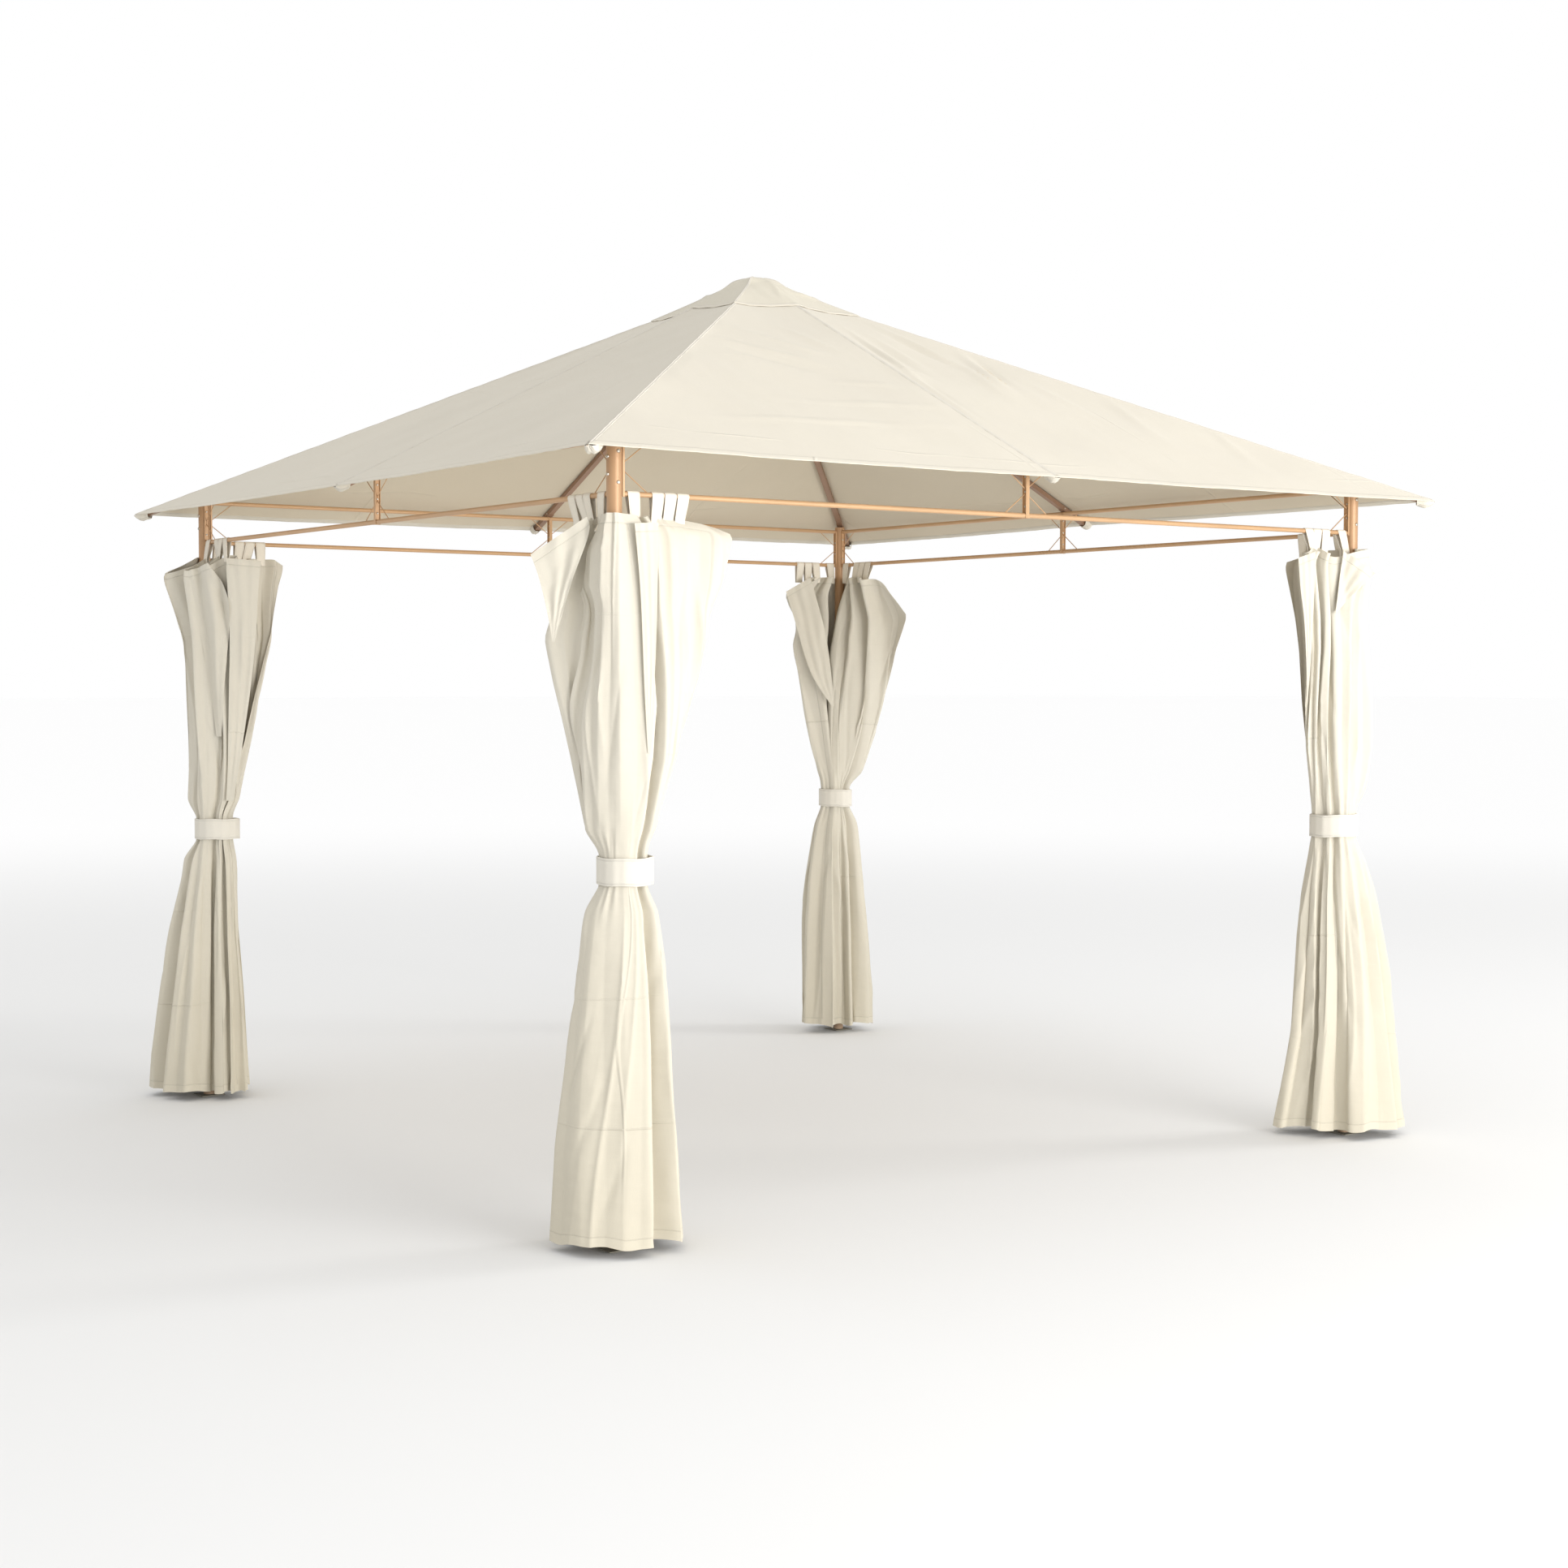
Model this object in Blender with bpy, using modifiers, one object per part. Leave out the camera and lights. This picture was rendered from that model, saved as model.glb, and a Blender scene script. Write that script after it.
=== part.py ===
"""Garden gazebo, three metres square: four steel posts, bolted side frames, eight rafters, a sewn
cloth canopy with a vent cap, and a tied curtain at every corner.

Metres, +Z up. The origin is on the ground under the middle of the canopy, the front side faces -Y.
"""

import math

import bmesh
import bpy
import numpy as np
from mathutils import Matrix, Vector

POST_SPACING = 2.65  # between post axes, along each side
POST_RADIUS = 0.019
FOOT_SIDE = 0.080
FOOT_THICK = 0.003
GAP = 0.0003  # clearance between parts that touch
LOWER_RAIL_Z = 1.861
UPPER_RAIL_Z = 1.994
RAIL_RADIUS = 0.0069
CHANNEL_WIDTH = 0.0165
CHANNEL_DEPTH = 0.0055
CHANNEL_WALL = 0.0013
WIRE_RADIUS = 0.0015
WIRE_REACH = 0.078  # of a bent brace, along the rail
RAFTER_WIDTH = 0.020
RAFTER_DEPTH = 0.015
HIP_TOP_Z = 2.674  # canopy hip line, carried to the centre
HIP_SLOPE = 0.3375
MID_SLOPE = 0.505
HIP_END = 2.085
MID_END = 1.436
SADDLE_WALL = 0.0012
HUB_RADIUS = 0.034
CANOPY_CORNER = 1.500
CANOPY_MID = 1.455
CANOPY_THICK = 0.002
CANOPY_SAG = 0.008
VENT_HALF = 0.240
VENT_THICK = 0.002
PEAK_Z = 2.691
CURTAIN_TOP = 1.811
CURTAIN_EDGE = 0.172  # how far the folds may reach outwards from a post axis
HEM_RADIUS = 0.135
BAND_HEIGHT = 0.068
BAND_THICK = 0.0025
TAB_WIDTH = 0.035
TAB_THICK = 0.002
TAB_PLACES = (0.051, 0.122, 0.159, 0.196)
HALF = POST_SPACING / 2
SHARP_ANGLE = math.radians(35)

# Corner name, signs of the post in x and y.
CORNERS = (
    ("front_left", -1, -1),
    ("front_right", 1, -1),
    ("back_left", -1, 1),
    ("back_right", 1, 1),
)
# Side name and the turn about +Z that carries the front side onto it.
SIDES = (("front", 0), ("right", 90), ("back", 180), ("left", 270))
# Direction across the widest view of the curtains, in the ground plane.
ACROSS = (0.817, -0.576)
# Per curtain: wing lengths along x and y, droop of the two free corners, height of the tie, band
# radius, centre of the band (along the two sides, away from the post), and how far the folds
# reach to either side of the post, measured ACROSS, at heights above and below the tie.
CURTAINS = {
    "front_left": (
        (0.350, 0.360), (0.035, 0.085), 0.936, 0.067, (0.040, 0.018),
        ((1.000, -0.075, 0.090), (1.10, -0.091, 0.121), (1.30, -0.130, 0.175),
         (1.50, -0.178, 0.228), (1.60, -0.164, 0.252), (1.68, -0.196, 0.276),
         (1.811, -0.200, 0.284)),
        ((0.860, -0.078, 0.105), (0.75, -0.087, 0.119), (0.50, -0.120, 0.143),
         (0.20, -0.153, 0.157), (0.026, -0.160, 0.174)),
    ),
    "front_right": (
        (0.250, 0.250), (0.030, 0.040), 0.960, 0.069, (0.031, 0.031),
        ((1.020, -0.116, 0.045), (1.15, -0.130, 0.066), (1.30, -0.147, 0.067),
         (1.50, -0.161, 0.055), (1.60, -0.175, 0.055), (1.68, -0.191, 0.060),
         (1.811, -0.204, 0.054)),
        ((0.880, -0.114, 0.045), (0.75, -0.130, 0.086), (0.50, -0.148, 0.125),
         (0.20, -0.192, 0.152), (0.026, -0.218, 0.176)),
    ),
    "back_left": (
        (0.275, 0.260), (0.035, 0.050), 0.902, 0.070, (0.026, 0.026),
        ((0.960, -0.060, 0.110), (1.10, -0.061, 0.138), (1.30, -0.059, 0.167),
         (1.50, -0.064, 0.199), (1.64, -0.095, 0.213), (1.73, -0.121, 0.228),
         (1.811, -0.070, 0.226)),
        ((0.845, -0.076, 0.100), (0.75, -0.081, 0.100), (0.50, -0.130, 0.117),
         (0.20, -0.182, 0.134), (0.026, -0.200, 0.141)),
    ),
    "back_right": (
        (0.250, 0.365), (0.060, 0.055), 0.936, 0.062, (0.030, 0.016),
        ((1.000, -0.090, 0.080), (1.10, -0.113, 0.111), (1.30, -0.143, 0.169),
         (1.50, -0.189, 0.217), (1.60, -0.190, 0.249), (1.68, -0.206, 0.250),
         (1.811, -0.205, 0.210)),
        ((0.870, -0.090, 0.064), (0.75, -0.109, 0.088), (0.50, -0.141, 0.103),
         (0.20, -0.156, 0.126), (0.032, -0.160, 0.131)),
    ),
}
# Outline of half a curtain's top hem: share of the wing beyond the post, and distance across it.
WING_START = 0.050
WING_OUTLINE = (
    (0.00, 0.024), (0.12, 0.036), (0.30, 0.030), (0.50, 0.040), (0.70, 0.028), (0.86, 0.026),
    (1.00, 0.008), (1.00, -0.012), (0.86, -0.034), (0.70, -0.030), (0.50, -0.042),
    (0.30, -0.034), (0.12, -0.042), (0.00, -0.036),
)
POST_WRAP = ((0.018, -0.040), (-0.020, -0.037))
SLIT_TURN = math.radians(172)  # of the closed sleeve round the post
NOTCH_TURN = math.radians(135)  # of the sleeve at the top, where it opens to the inside
NOTCH_LOW = 1.66


def material(name, rgb, roughness, metallic):
    m = bpy.data.materials.new(name)
    m.use_nodes = True
    shader = m.node_tree.nodes["Principled BSDF"]
    shader.inputs["Base Color"].default_value = (*rgb, 1.0)
    shader.inputs["Roughness"].default_value = roughness
    shader.inputs["Metallic"].default_value = metallic
    return m


def place(name, mesh, slot, matrix=None):
    """Adds one named part to the gazebo collection."""
    obj = bpy.data.objects.new(name, mesh)
    GAZEBO.objects.link(obj)
    if not mesh.materials:
        mesh.materials.append(slot)
    mesh.shade_smooth()
    mesh.set_sharp_from_angle(angle=SHARP_ANGLE)
    if matrix is not None:
        obj.matrix_world = matrix
    return obj


def mesh_from(bm, name):
    bmesh.ops.recalc_face_normals(bm, faces=bm.faces)
    mesh = bpy.data.meshes.new(name)
    bm.to_mesh(mesh)
    bm.free()
    return mesh


def cylinder_mesh(name, radius, length, sides, matrix=None):
    """Closed cylinder along +Z, centred, then moved by the matrix."""
    bm = bmesh.new()
    bmesh.ops.create_cone(
        bm, cap_ends=True, segments=sides, radius1=radius, radius2=radius, depth=length
    )
    if matrix is not None:
        bmesh.ops.transform(bm, matrix=matrix, verts=bm.verts)
    return mesh_from(bm, name)


def box_mesh(name, low, high):
    bm = bmesh.new()
    bmesh.ops.create_cube(bm, size=1.0)
    low, high = Vector(low), Vector(high)
    for v in bm.verts:
        for i in range(3):
            v.co[i] = low[i] if v.co[i] < 0 else high[i]
    return mesh_from(bm, name)


def prism_mesh(name, outline, length, matrix=None):
    """Flat outline in the XY plane, extruded along +Z and centred on it."""
    bm = bmesh.new()
    face = bm.faces.new([bm.verts.new((x, y, -length / 2)) for x, y in outline])
    grown = bmesh.ops.extrude_face_region(bm, geom=[face])
    top = [g for g in grown["geom"] if isinstance(g, bmesh.types.BMVert)]
    bmesh.ops.translate(bm, vec=(0, 0, length), verts=top)
    if matrix is not None:
        bmesh.ops.transform(bm, matrix=matrix, verts=bm.verts)
    return mesh_from(bm, name)


def wire_mesh(name, points, radius):
    """Bent round wire with closed ends, swept along straight runs."""
    curve = bpy.data.curves.new(name, "CURVE")
    curve.dimensions = "3D"
    curve.bevel_depth = radius
    curve.bevel_resolution = 1
    curve.use_fill_caps = True
    spline = curve.splines.new("POLY")
    spline.points.add(len(points) - 1)
    for p, co in zip(spline.points, points):
        p.co = (*co, 1.0)
    holder = bpy.data.objects.new(name, curve)
    holder.display_type = "WIRE"
    CUTTERS.objects.link(holder)
    mesh = evaluated_mesh(holder, name)
    bpy.data.objects.remove(holder)
    bpy.data.curves.remove(curve)
    return mesh


def evaluated_mesh(obj, name):
    bpy.context.view_layer.update()
    graph = bpy.context.evaluated_depsgraph_get()
    mesh = bpy.data.meshes.new_from_object(obj.evaluated_get(graph))
    mesh.name = name
    bm = bmesh.new()
    bm.from_mesh(mesh)
    bmesh.ops.remove_doubles(bm, verts=bm.verts, dist=0.00001)
    bmesh.ops.recalc_face_normals(bm, faces=bm.faces)
    bm.to_mesh(mesh)
    bm.free()
    return mesh


def union_mesh(name, meshes):
    """One closed body from overlapping closed bodies."""
    holders = [bpy.data.objects.new(m.name, m) for m in meshes]
    for holder in holders:
        holder.display_type = "WIRE"
        CUTTERS.objects.link(holder)
    base = holders[0]
    for other in holders[1:]:
        cut = base.modifiers.new("join", "BOOLEAN")
        cut.operation = "UNION"
        cut.solver = "EXACT"
        cut.object = other
    mesh = evaluated_mesh(base, name)
    mesh.materials.clear()
    for holder in holders:
        bpy.data.objects.remove(holder)
    return mesh


def ring_mesh(name, inside, outside, height, sides):
    """Flat band turned about +Z, centred."""
    profile = bpy.data.meshes.new(name)
    corners = [(inside, -0.5), (outside, -0.5), (outside, 0.5), (inside, 0.5)]
    points = [(x, 0, z * height) for x, z in corners]
    profile.from_pydata(points, [(0, 1), (1, 2), (2, 3), (3, 0)], [])
    holder = bpy.data.objects.new(name, profile)
    holder.display_type = "WIRE"
    CUTTERS.objects.link(holder)
    turned = holder.modifiers.new("turn", "SCREW")
    turned.steps = sides
    turned.render_steps = sides
    turned.use_merge_vertices = True
    turned.merge_threshold = 0.00005
    mesh = evaluated_mesh(holder, name)
    bpy.data.objects.remove(holder)
    return mesh


def cloth_part(name, points, around, capped, thickness):
    """Sheet of closed rings, each of so many points, given its thickness downwards."""
    rings = len(points) // around
    faces = [tuple(range(around))] if capped else []
    for i in range(rings - 1):
        for j in range(around):
            a, b = i * around + j, i * around + (j + 1) % around
            faces.append((a, b, b + around, a + around))
    mesh = bpy.data.meshes.new(name)
    mesh.from_pydata(points, [], faces)
    bm = bmesh.new()
    bm.from_mesh(mesh)
    bmesh.ops.recalc_face_normals(bm, faces=bm.faces)
    if sum(f.normal.z for f in bm.faces) < 0:
        bmesh.ops.reverse_faces(bm, faces=bm.faces)
    bm.to_mesh(mesh)
    bm.free()
    part = place(name, mesh, CANOPY_CLOTH)
    shell = part.modifiers.new("cloth", "SOLIDIFY")
    shell.thickness = thickness
    shell.offset = -1.0
    shell.use_even_offset = capped is False


def grid_faces(rows, columns):
    """Quads of a grid whose vertex (i, j) has the index i * columns + j."""
    i, j = np.meshgrid(np.arange(rows - 1), np.arange(columns - 1), indexing="ij")
    a = (i * columns + j).ravel()
    return np.stack([a, a + 1, a + columns + 1, a + columns], axis=1)


def hip_top(r):
    return HIP_TOP_Z - HIP_SLOPE * r


HIP_COS = math.cos(math.atan(HIP_SLOPE))
MID_COS = math.cos(math.atan(MID_SLOPE))
# The rafter lies on a saddle that clears the rail, or the post, under it.
SADDLE_RISE = RAIL_RADIUS + GAP + SADDLE_WALL + GAP + RAFTER_DEPTH / 2
MID_AXIS_Z = UPPER_RAIL_Z + SADDLE_RISE / MID_COS + MID_SLOPE * HALF
MID_TOP_Z = MID_AXIS_Z + (RAFTER_DEPTH / 2 + CANOPY_THICK) / MID_COS + 0.0024
HIP_AXIS_Z = HIP_TOP_Z - (RAFTER_DEPTH / 2 + CANOPY_THICK) / HIP_COS - 0.0040
POST_DIAGONAL = HALF * math.sqrt(2)


def rafter_z(hip, r):
    return HIP_AXIS_Z - HIP_SLOPE * r if hip else MID_AXIS_Z - MID_SLOPE * r


def canopy_point(scale, side):
    """Top of the canopy: ruled from the mid ridge (side 0) to the hip (side 1) with a light sag.

    scale runs from 0 at the centre to 1 at the eaves; the point is for the front octant at +X.
    """
    along = side * CANOPY_CORNER * scale
    out = (CANOPY_MID + (CANOPY_CORNER - CANOPY_MID) * side) * scale
    mid = MID_TOP_Z - MID_SLOPE * CANOPY_MID * scale
    hip = hip_top(CANOPY_CORNER * math.sqrt(2) * scale)
    sag = CANOPY_SAG * 4 * side * (1 - side) * math.sin(math.pi * min(1.0, scale * 0.94)) ** 0.7
    return along, -out, mid + (hip - mid) * side - sag


def canopy_ring(scale, steps):
    """One closed ring of canopy points, from the middle of the front side round to it again."""
    ring = []
    for turn in range(4):
        spin = Matrix.Rotation(math.radians(90 * turn), 4, "Z")
        for k in range(-steps, steps):
            x, y, z = canopy_point(scale, abs(k) / steps)
            ring.append(spin @ Vector((math.copysign(x, k), y, z)))
    return ring


def reach_across(outline, corner, low, high):
    """Widens or narrows an outline so that it reaches from low to high, measured ACROSS.

    No point ends up nearer to the post than the sleeve round it, or outside the canopy.
    """
    sign = np.array([(-sx, -sy) for name, sx, sy in CORNERS if name == corner][0])
    axis = np.array(ACROSS) / math.hypot(*ACROSS) * sign
    along = outline @ axis
    factor = np.where(along < 0, low / along.min(), high / along.max())
    moved = np.maximum(outline + np.outer(along * (factor - 1), axis), -CURTAIN_EDGE)
    far = np.linalg.norm(moved, axis=1)
    near = POST_RADIUS + 0.0050
    return moved * np.maximum(1, near / far)[:, None]


def curtain_mesh(name, corner):
    """A gathered curtain as one thick closed body, slit on the side that faces the gazebo.

    Each outline runs from the inner edge of the x wing round the outside of the post to the
    inner edge of the y wing, in coordinates along the two sides.
    """
    wings, droop, band_z, band_radius, band_centre, above, below = CURTAINS[corner]
    top = [(WING_START + share * (wings[0] - WING_START), b) for share, b in WING_OUTLINE]
    top += POST_WRAP
    top += [(b, a) for a, b in reversed(POST_WRAP)]
    top += [(b, WING_START + share * (wings[1] - WING_START)) for share, b in WING_OUTLINE[::-1]]
    top = np.array(top)
    count = len(top)
    pleat = np.where(np.arange(count) % 2 == 0, 1.0, -1.0)[:, None]
    reach = np.abs(top).max(axis=1)
    fall = np.clip((reach - 0.220) / 0.10, 0, 1)
    fall *= np.where(np.arange(count) < count / 2, droop[0], droop[1])
    outward = np.array((-1.0, -1.0)) / math.sqrt(2)
    sideways = np.array((1.0, -1.0)) / math.sqrt(2)

    def heading(turn):
        turns = np.linspace(turn, -turn, count)[:, None]
        return np.cos(turns) * outward + np.sin(turns) * sideways

    band = np.array(band_centre) + band_radius * heading(SLIT_TURN)
    hem_z = below[-1][0]
    hem = np.array(band_centre) * 0.5 + HEM_RADIUS * heading(SLIT_TURN) * (1 + 0.07 * pleat)
    sleeve = (POST_RADIUS + 0.0015) * heading(SLIT_TURN)
    notch = (POST_RADIUS + 0.0015) * heading(NOTCH_TURN)
    low, high = band_z - BAND_HEIGHT / 2 - 0.004, band_z + BAND_HEIGHT / 2 + 0.004
    outers, inners = [], []
    for z, left, right in reversed(below):
        share = (low - z) / (low - hem_z)
        outline = reach_across(band + (hem - band) * share**0.75, corner, left, right)
        level = np.full(count, z)
        outers.append(np.column_stack([outline, level]))
        inners.append(np.column_stack([sleeve * (1 + share**0.75), level]))
    for z in (low, high):
        level = np.full(count, z)
        outers.append(np.column_stack([band, level]))
        inners.append(np.column_stack([sleeve, level]))
    for z, left, right in above:
        share = (z - high) / (CURTAIN_TOP - high)
        opened = max(0.0, (z - NOTCH_LOW) / (CURTAIN_TOP - NOTCH_LOW))
        outline = reach_across(band + (top - band) * share**0.9, corner, left, right)
        level = np.full(count, z)
        outers.append(np.column_stack([outline, level - fall * share]))
        inners.append(np.column_stack([sleeve + (notch - sleeve) * opened, level]))
    rows = len(outers)
    verts = np.concatenate(outers + inners)
    sheet = grid_faces(rows, count)
    shift = rows * count
    faces = [tuple(f) for f in sheet]
    faces += [tuple(f[::-1] + shift) for f in sheet]
    for j in range(count - 1):
        faces.append((j + 1, j, shift + j, shift + j + 1))
    # The top hem: strips across the two wings, then one flat face round the post.
    last = (rows - 1) * count
    fold = len(WING_OUTLINE) - 1
    for j in range(fold // 2):
        strip = (j, j + 1, fold - j - 1, fold - j)
        faces.append(tuple(last + k for k in strip))
        faces.append(tuple(last + count - 1 - k for k in strip))
    rim = [0] + list(range(fold, count - fold)) + [count - 1]
    faces.append(
        tuple(last + k for k in rim) + tuple(shift + last + k for k in reversed(range(count)))
    )
    for i in range(rows - 1):
        a, b = i * count, (i + 1) * count
        faces.append((a, b, shift + b, shift + a))
        a, b = a + count - 1, b + count - 1
        faces.append((b, a, shift + a, shift + b))
    mesh = bpy.data.meshes.new(name)
    mesh.from_pydata([tuple(map(float, v)) for v in verts], [], [tuple(map(int, f)) for f in faces])
    bm = bmesh.new()
    bm.from_mesh(mesh)
    bmesh.ops.triangulate(bm, faces=bm.faces)
    bmesh.ops.recalc_face_normals(bm, faces=bm.faces)
    bm.to_mesh(mesh)
    bm.free()
    return mesh


def tab_mesh(name, place_along, along_x):
    """Strap looped over the lower rail, its two ends sunk into the top hem."""
    inner = RAIL_RADIUS + GAP
    outer = inner + TAB_THICK
    rise = LOWER_RAIL_Z
    foot = CURTAIN_TOP - 0.012
    turns = [math.pi * k / 8 for k in range(9)]
    outline = [(outer, foot)]
    outline += [(outer * math.cos(t), rise + outer * math.sin(t)) for t in turns]
    outline += [(-outer, foot), (-inner, foot)]
    outline += [(inner * math.cos(t), rise + inner * math.sin(t)) for t in reversed(turns)]
    outline += [(inner, foot)]
    if along_x:
        turn = Matrix(((0, 0, 1, place_along), (1, 0, 0, 0), (0, 1, 0, 0), (0, 0, 0, 1)))
    else:
        turn = Matrix(((1, 0, 0, 0), (0, 0, -1, place_along), (0, 1, 0, 0), (0, 0, 0, 1)))
    return prism_mesh(name, outline, TAB_WIDTH, turn)


for old in list(bpy.data.objects):
    bpy.data.objects.remove(old)
GAZEBO = bpy.data.collections.new("garden_gazebo")
CUTTERS = bpy.data.collections.new("cutters")
for collection in (GAZEBO, CUTTERS):
    bpy.context.scene.collection.children.link(collection)
CUTTERS.hide_render = True

POST_PAINT = material("post_paint", (0.62, 0.40, 0.21), 0.45, 0.0)
RAFTER_PAINT = material("rafter_paint", (0.33, 0.19, 0.10), 0.45, 0.0)
RAIL_PAINT = material("rail_paint", (0.55, 0.36, 0.20), 0.45, 0.0)
FOOT_PAINT = material("foot_paint", (0.15, 0.14, 0.11), 0.55, 0.0)
CANOPY_CLOTH = material("canopy_cloth", (0.86, 0.81, 0.70), 0.85, 0.0)
CURTAIN_CLOTH = material("curtain_cloth", (0.90, 0.86, 0.76), 0.85, 0.0)
BAND_CLOTH = material("band_cloth", (0.92, 0.89, 0.81), 0.85, 0.0)

# Posts on their foot plates.
saddle_low = rafter_z(True, POST_DIAGONAL) - (RAFTER_DEPTH / 2 + GAP + SADDLE_WALL) / HIP_COS
saddle_length = 0.030
post_top = saddle_low - saddle_length / 2 * HIP_SLOPE - 0.0008
post_height = post_top - FOOT_THICK - GAP
post = cylinder_mesh("post", POST_RADIUS, post_height, 32)
foot = box_mesh(
    "foot", (-FOOT_SIDE / 2, -FOOT_SIDE / 2, 0), (FOOT_SIDE / 2, FOOT_SIDE / 2, FOOT_THICK)
)
for corner, sx, sy in CORNERS:
    spot = Vector((sx * HALF, sy * HALF, 0))
    rise = Vector((0, 0, FOOT_THICK + GAP + post_height / 2))
    place("post_" + corner, post, POST_PAINT, Matrix.Translation(spot + rise))
    place("foot_" + corner, foot, FOOT_PAINT, Matrix.Translation(spot))

# Half of a side frame: two rails, an upright channel at each end, a bent wire brace at each end.
panel_start = POST_RADIUS + GAP
panel_end = HALF - GAP
panel_length = panel_end - panel_start
channel_top = UPPER_RAIL_Z + 0.0020
channel_low = LOWER_RAIL_Z - 0.0075
pieces = []
for z in (LOWER_RAIL_Z, UPPER_RAIL_Z):
    turn = Matrix.Translation((0, 0, z)) @ Matrix.Rotation(math.pi / 2, 4, "Y")
    pieces.append(
        cylinder_mesh("rail", RAIL_RADIUS, panel_length - CHANNEL_WALL, 16, turn)
    )
w, d, t = CHANNEL_WIDTH / 2, CHANNEL_DEPTH, CHANNEL_WALL
channel = ((0, -w), (d, -w), (d, -w + t), (t, -w + t), (t, w - t), (d, w - t), (d, w), (0, w))
for sign in (-1, 1):
    turn = Matrix.Translation((0, 0, (channel_top + channel_low) / 2))
    outline = [(sign * (panel_length / 2 - x), y) for x, y in channel]
    pieces.append(prism_mesh("channel", outline, channel_top - channel_low, turn))
    root = sign * (panel_length / 2 - WIRE_RADIUS - 0.0002)
    away = sign * (panel_length / 2 - WIRE_REACH)
    middle = (UPPER_RAIL_Z + LOWER_RAIL_Z) / 2
    bend = [
        (away, 0, UPPER_RAIL_Z - RAIL_RADIUS * 0.4),
        (root, 0, middle + 0.006),
        (root, 0, middle - 0.006),
        (away, 0, LOWER_RAIL_Z + RAIL_RADIUS * 0.4),
    ]
    pieces.append(wire_mesh("brace", bend, WIRE_RADIUS))
panel = union_mesh("side_frame_half", pieces)
for side, degrees in SIDES:
    spin = Matrix.Rotation(math.radians(degrees), 4, "Z")
    for half, sign in (("a", -1), ("b", 1)):
        spot = Matrix.Translation((sign * (HALF - panel_start - panel_length / 2), -HALF, 0))
        place("side_frame_" + side + "_" + half, panel, RAIL_PAINT, spin @ spot)

# Rafters, four over the posts and four over the middle of the sides, square cut at the hub.
for hip in (True, False):
    slope = HIP_SLOPE if hip else MID_SLOPE
    angle = math.atan(slope)
    start = HUB_RADIUS + 0.0008
    end = HIP_END if hip else MID_END
    length = (end - start) / math.cos(angle)
    bm = bmesh.new()
    bmesh.ops.create_cube(bm, size=1.0)
    for v in bm.verts:
        v.co.y *= RAFTER_WIDTH
        v.co.z *= RAFTER_DEPTH
        v.co.x = length if v.co.x > 0 else -v.co.z * math.tan(angle)
    rafter = mesh_from(bm, "rafter")
    for k in range(4):
        heading = math.radians(90 * k + (-135 if hip else -90))
        spin = Matrix.Rotation(heading, 4, "Z")
        shift = Matrix.Translation((start, 0, rafter_z(hip, start)))
        tilt = Matrix.Rotation(angle, 4, "Y")
        if hip:
            name = "hip_rafter_" + ("front_left", "front_right", "back_right", "back_left")[k]
        else:
            name = "mid_rafter_" + ("front", "right", "back", "left")[k]
        place(name, rafter, RAFTER_PAINT, spin @ shift @ tilt)

# Folded saddle under every rafter, on the post or on the middle of the side frame.
ear_height = RAFTER_DEPTH - 0.004
for hip in (True, False):
    slope = HIP_SLOPE if hip else MID_SLOPE
    angle = math.atan(slope)
    r = POST_DIAGONAL if hip else HALF
    inner = RAFTER_WIDTH / 2 + GAP
    outer = inner + SADDLE_WALL
    floor = -RAFTER_DEPTH / 2 - GAP
    outline = (
        (-outer, floor - SADDLE_WALL), (outer, floor - SADDLE_WALL), (outer, floor + ear_height),
        (inner, floor + ear_height), (inner, floor), (-inner, floor),
        (-inner, floor + ear_height), (-outer, floor + ear_height),
    )
    upright = Matrix(((0, 0, 1, 0), (1, 0, 0, 0), (0, 1, 0, 0), (0, 0, 0, 1)))
    saddle = prism_mesh("saddle", outline, 0.030 if hip else 0.016, upright)
    for k in range(4):
        heading = math.radians(90 * k + (-135 if hip else -90))
        spin = Matrix.Rotation(heading, 4, "Z")
        shift = Matrix.Translation((r, 0, rafter_z(hip, r)))
        tilt = Matrix.Rotation(angle, 4, "Y")
        if hip:
            name = "hip_saddle_" + ("front_left", "front_right", "back_right", "back_left")[k]
        else:
            name = "mid_saddle_" + ("front", "right", "back", "left")[k]
        place(name, saddle, RAFTER_PAINT, spin @ shift @ tilt)

# Hub that the eight rafters meet at, under the vent cap.
hub_low = rafter_z(False, HUB_RADIUS) - 0.016
hub_high = PEAK_Z - VENT_THICK - 0.0034 - GAP
hub = cylinder_mesh("roof_hub", HUB_RADIUS, hub_high - hub_low, 32)
place("roof_hub", hub, RAFTER_PAINT, Matrix.Translation((0, 0, (hub_low + hub_high) / 2)))

# Canopy, open at the top, as one sheet with thickness.
steps = 4
points = []
for scale in (0.085, 0.16, 0.30, 0.45, 0.60, 0.74, 0.88, 1.0):
    points += canopy_ring(scale, steps)
cloth_part("canopy", points, 8 * steps, False, CANOPY_THICK)

# Vent cap: a small hollow-sided roof over the opening, its skirt just above the canopy.
points = []
rings = ((0.06, None), (0.14, None), (0.20, None), (0.34, 0.017), (0.62, 0.011), (1.0, 0.0070))
for share, lift in rings:
    out = VENT_HALF * share
    for turn in range(4):
        spin = Matrix.Rotation(math.radians(90 * turn), 4, "Z")
        for k in range(-steps, steps):
            side = abs(k) / steps
            z = PEAK_Z - 0.33 * (share - 0.06) ** 1.85
            if lift is not None:
                span = CANOPY_MID + (CANOPY_CORNER - CANOPY_MID) * side
                z = canopy_point(out / span, side)[2] + lift
            points.append(spin @ Vector((math.copysign(out * side, k), -out, z)))
cloth_part("vent_cap", points, 8 * steps, True, VENT_THICK)

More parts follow.
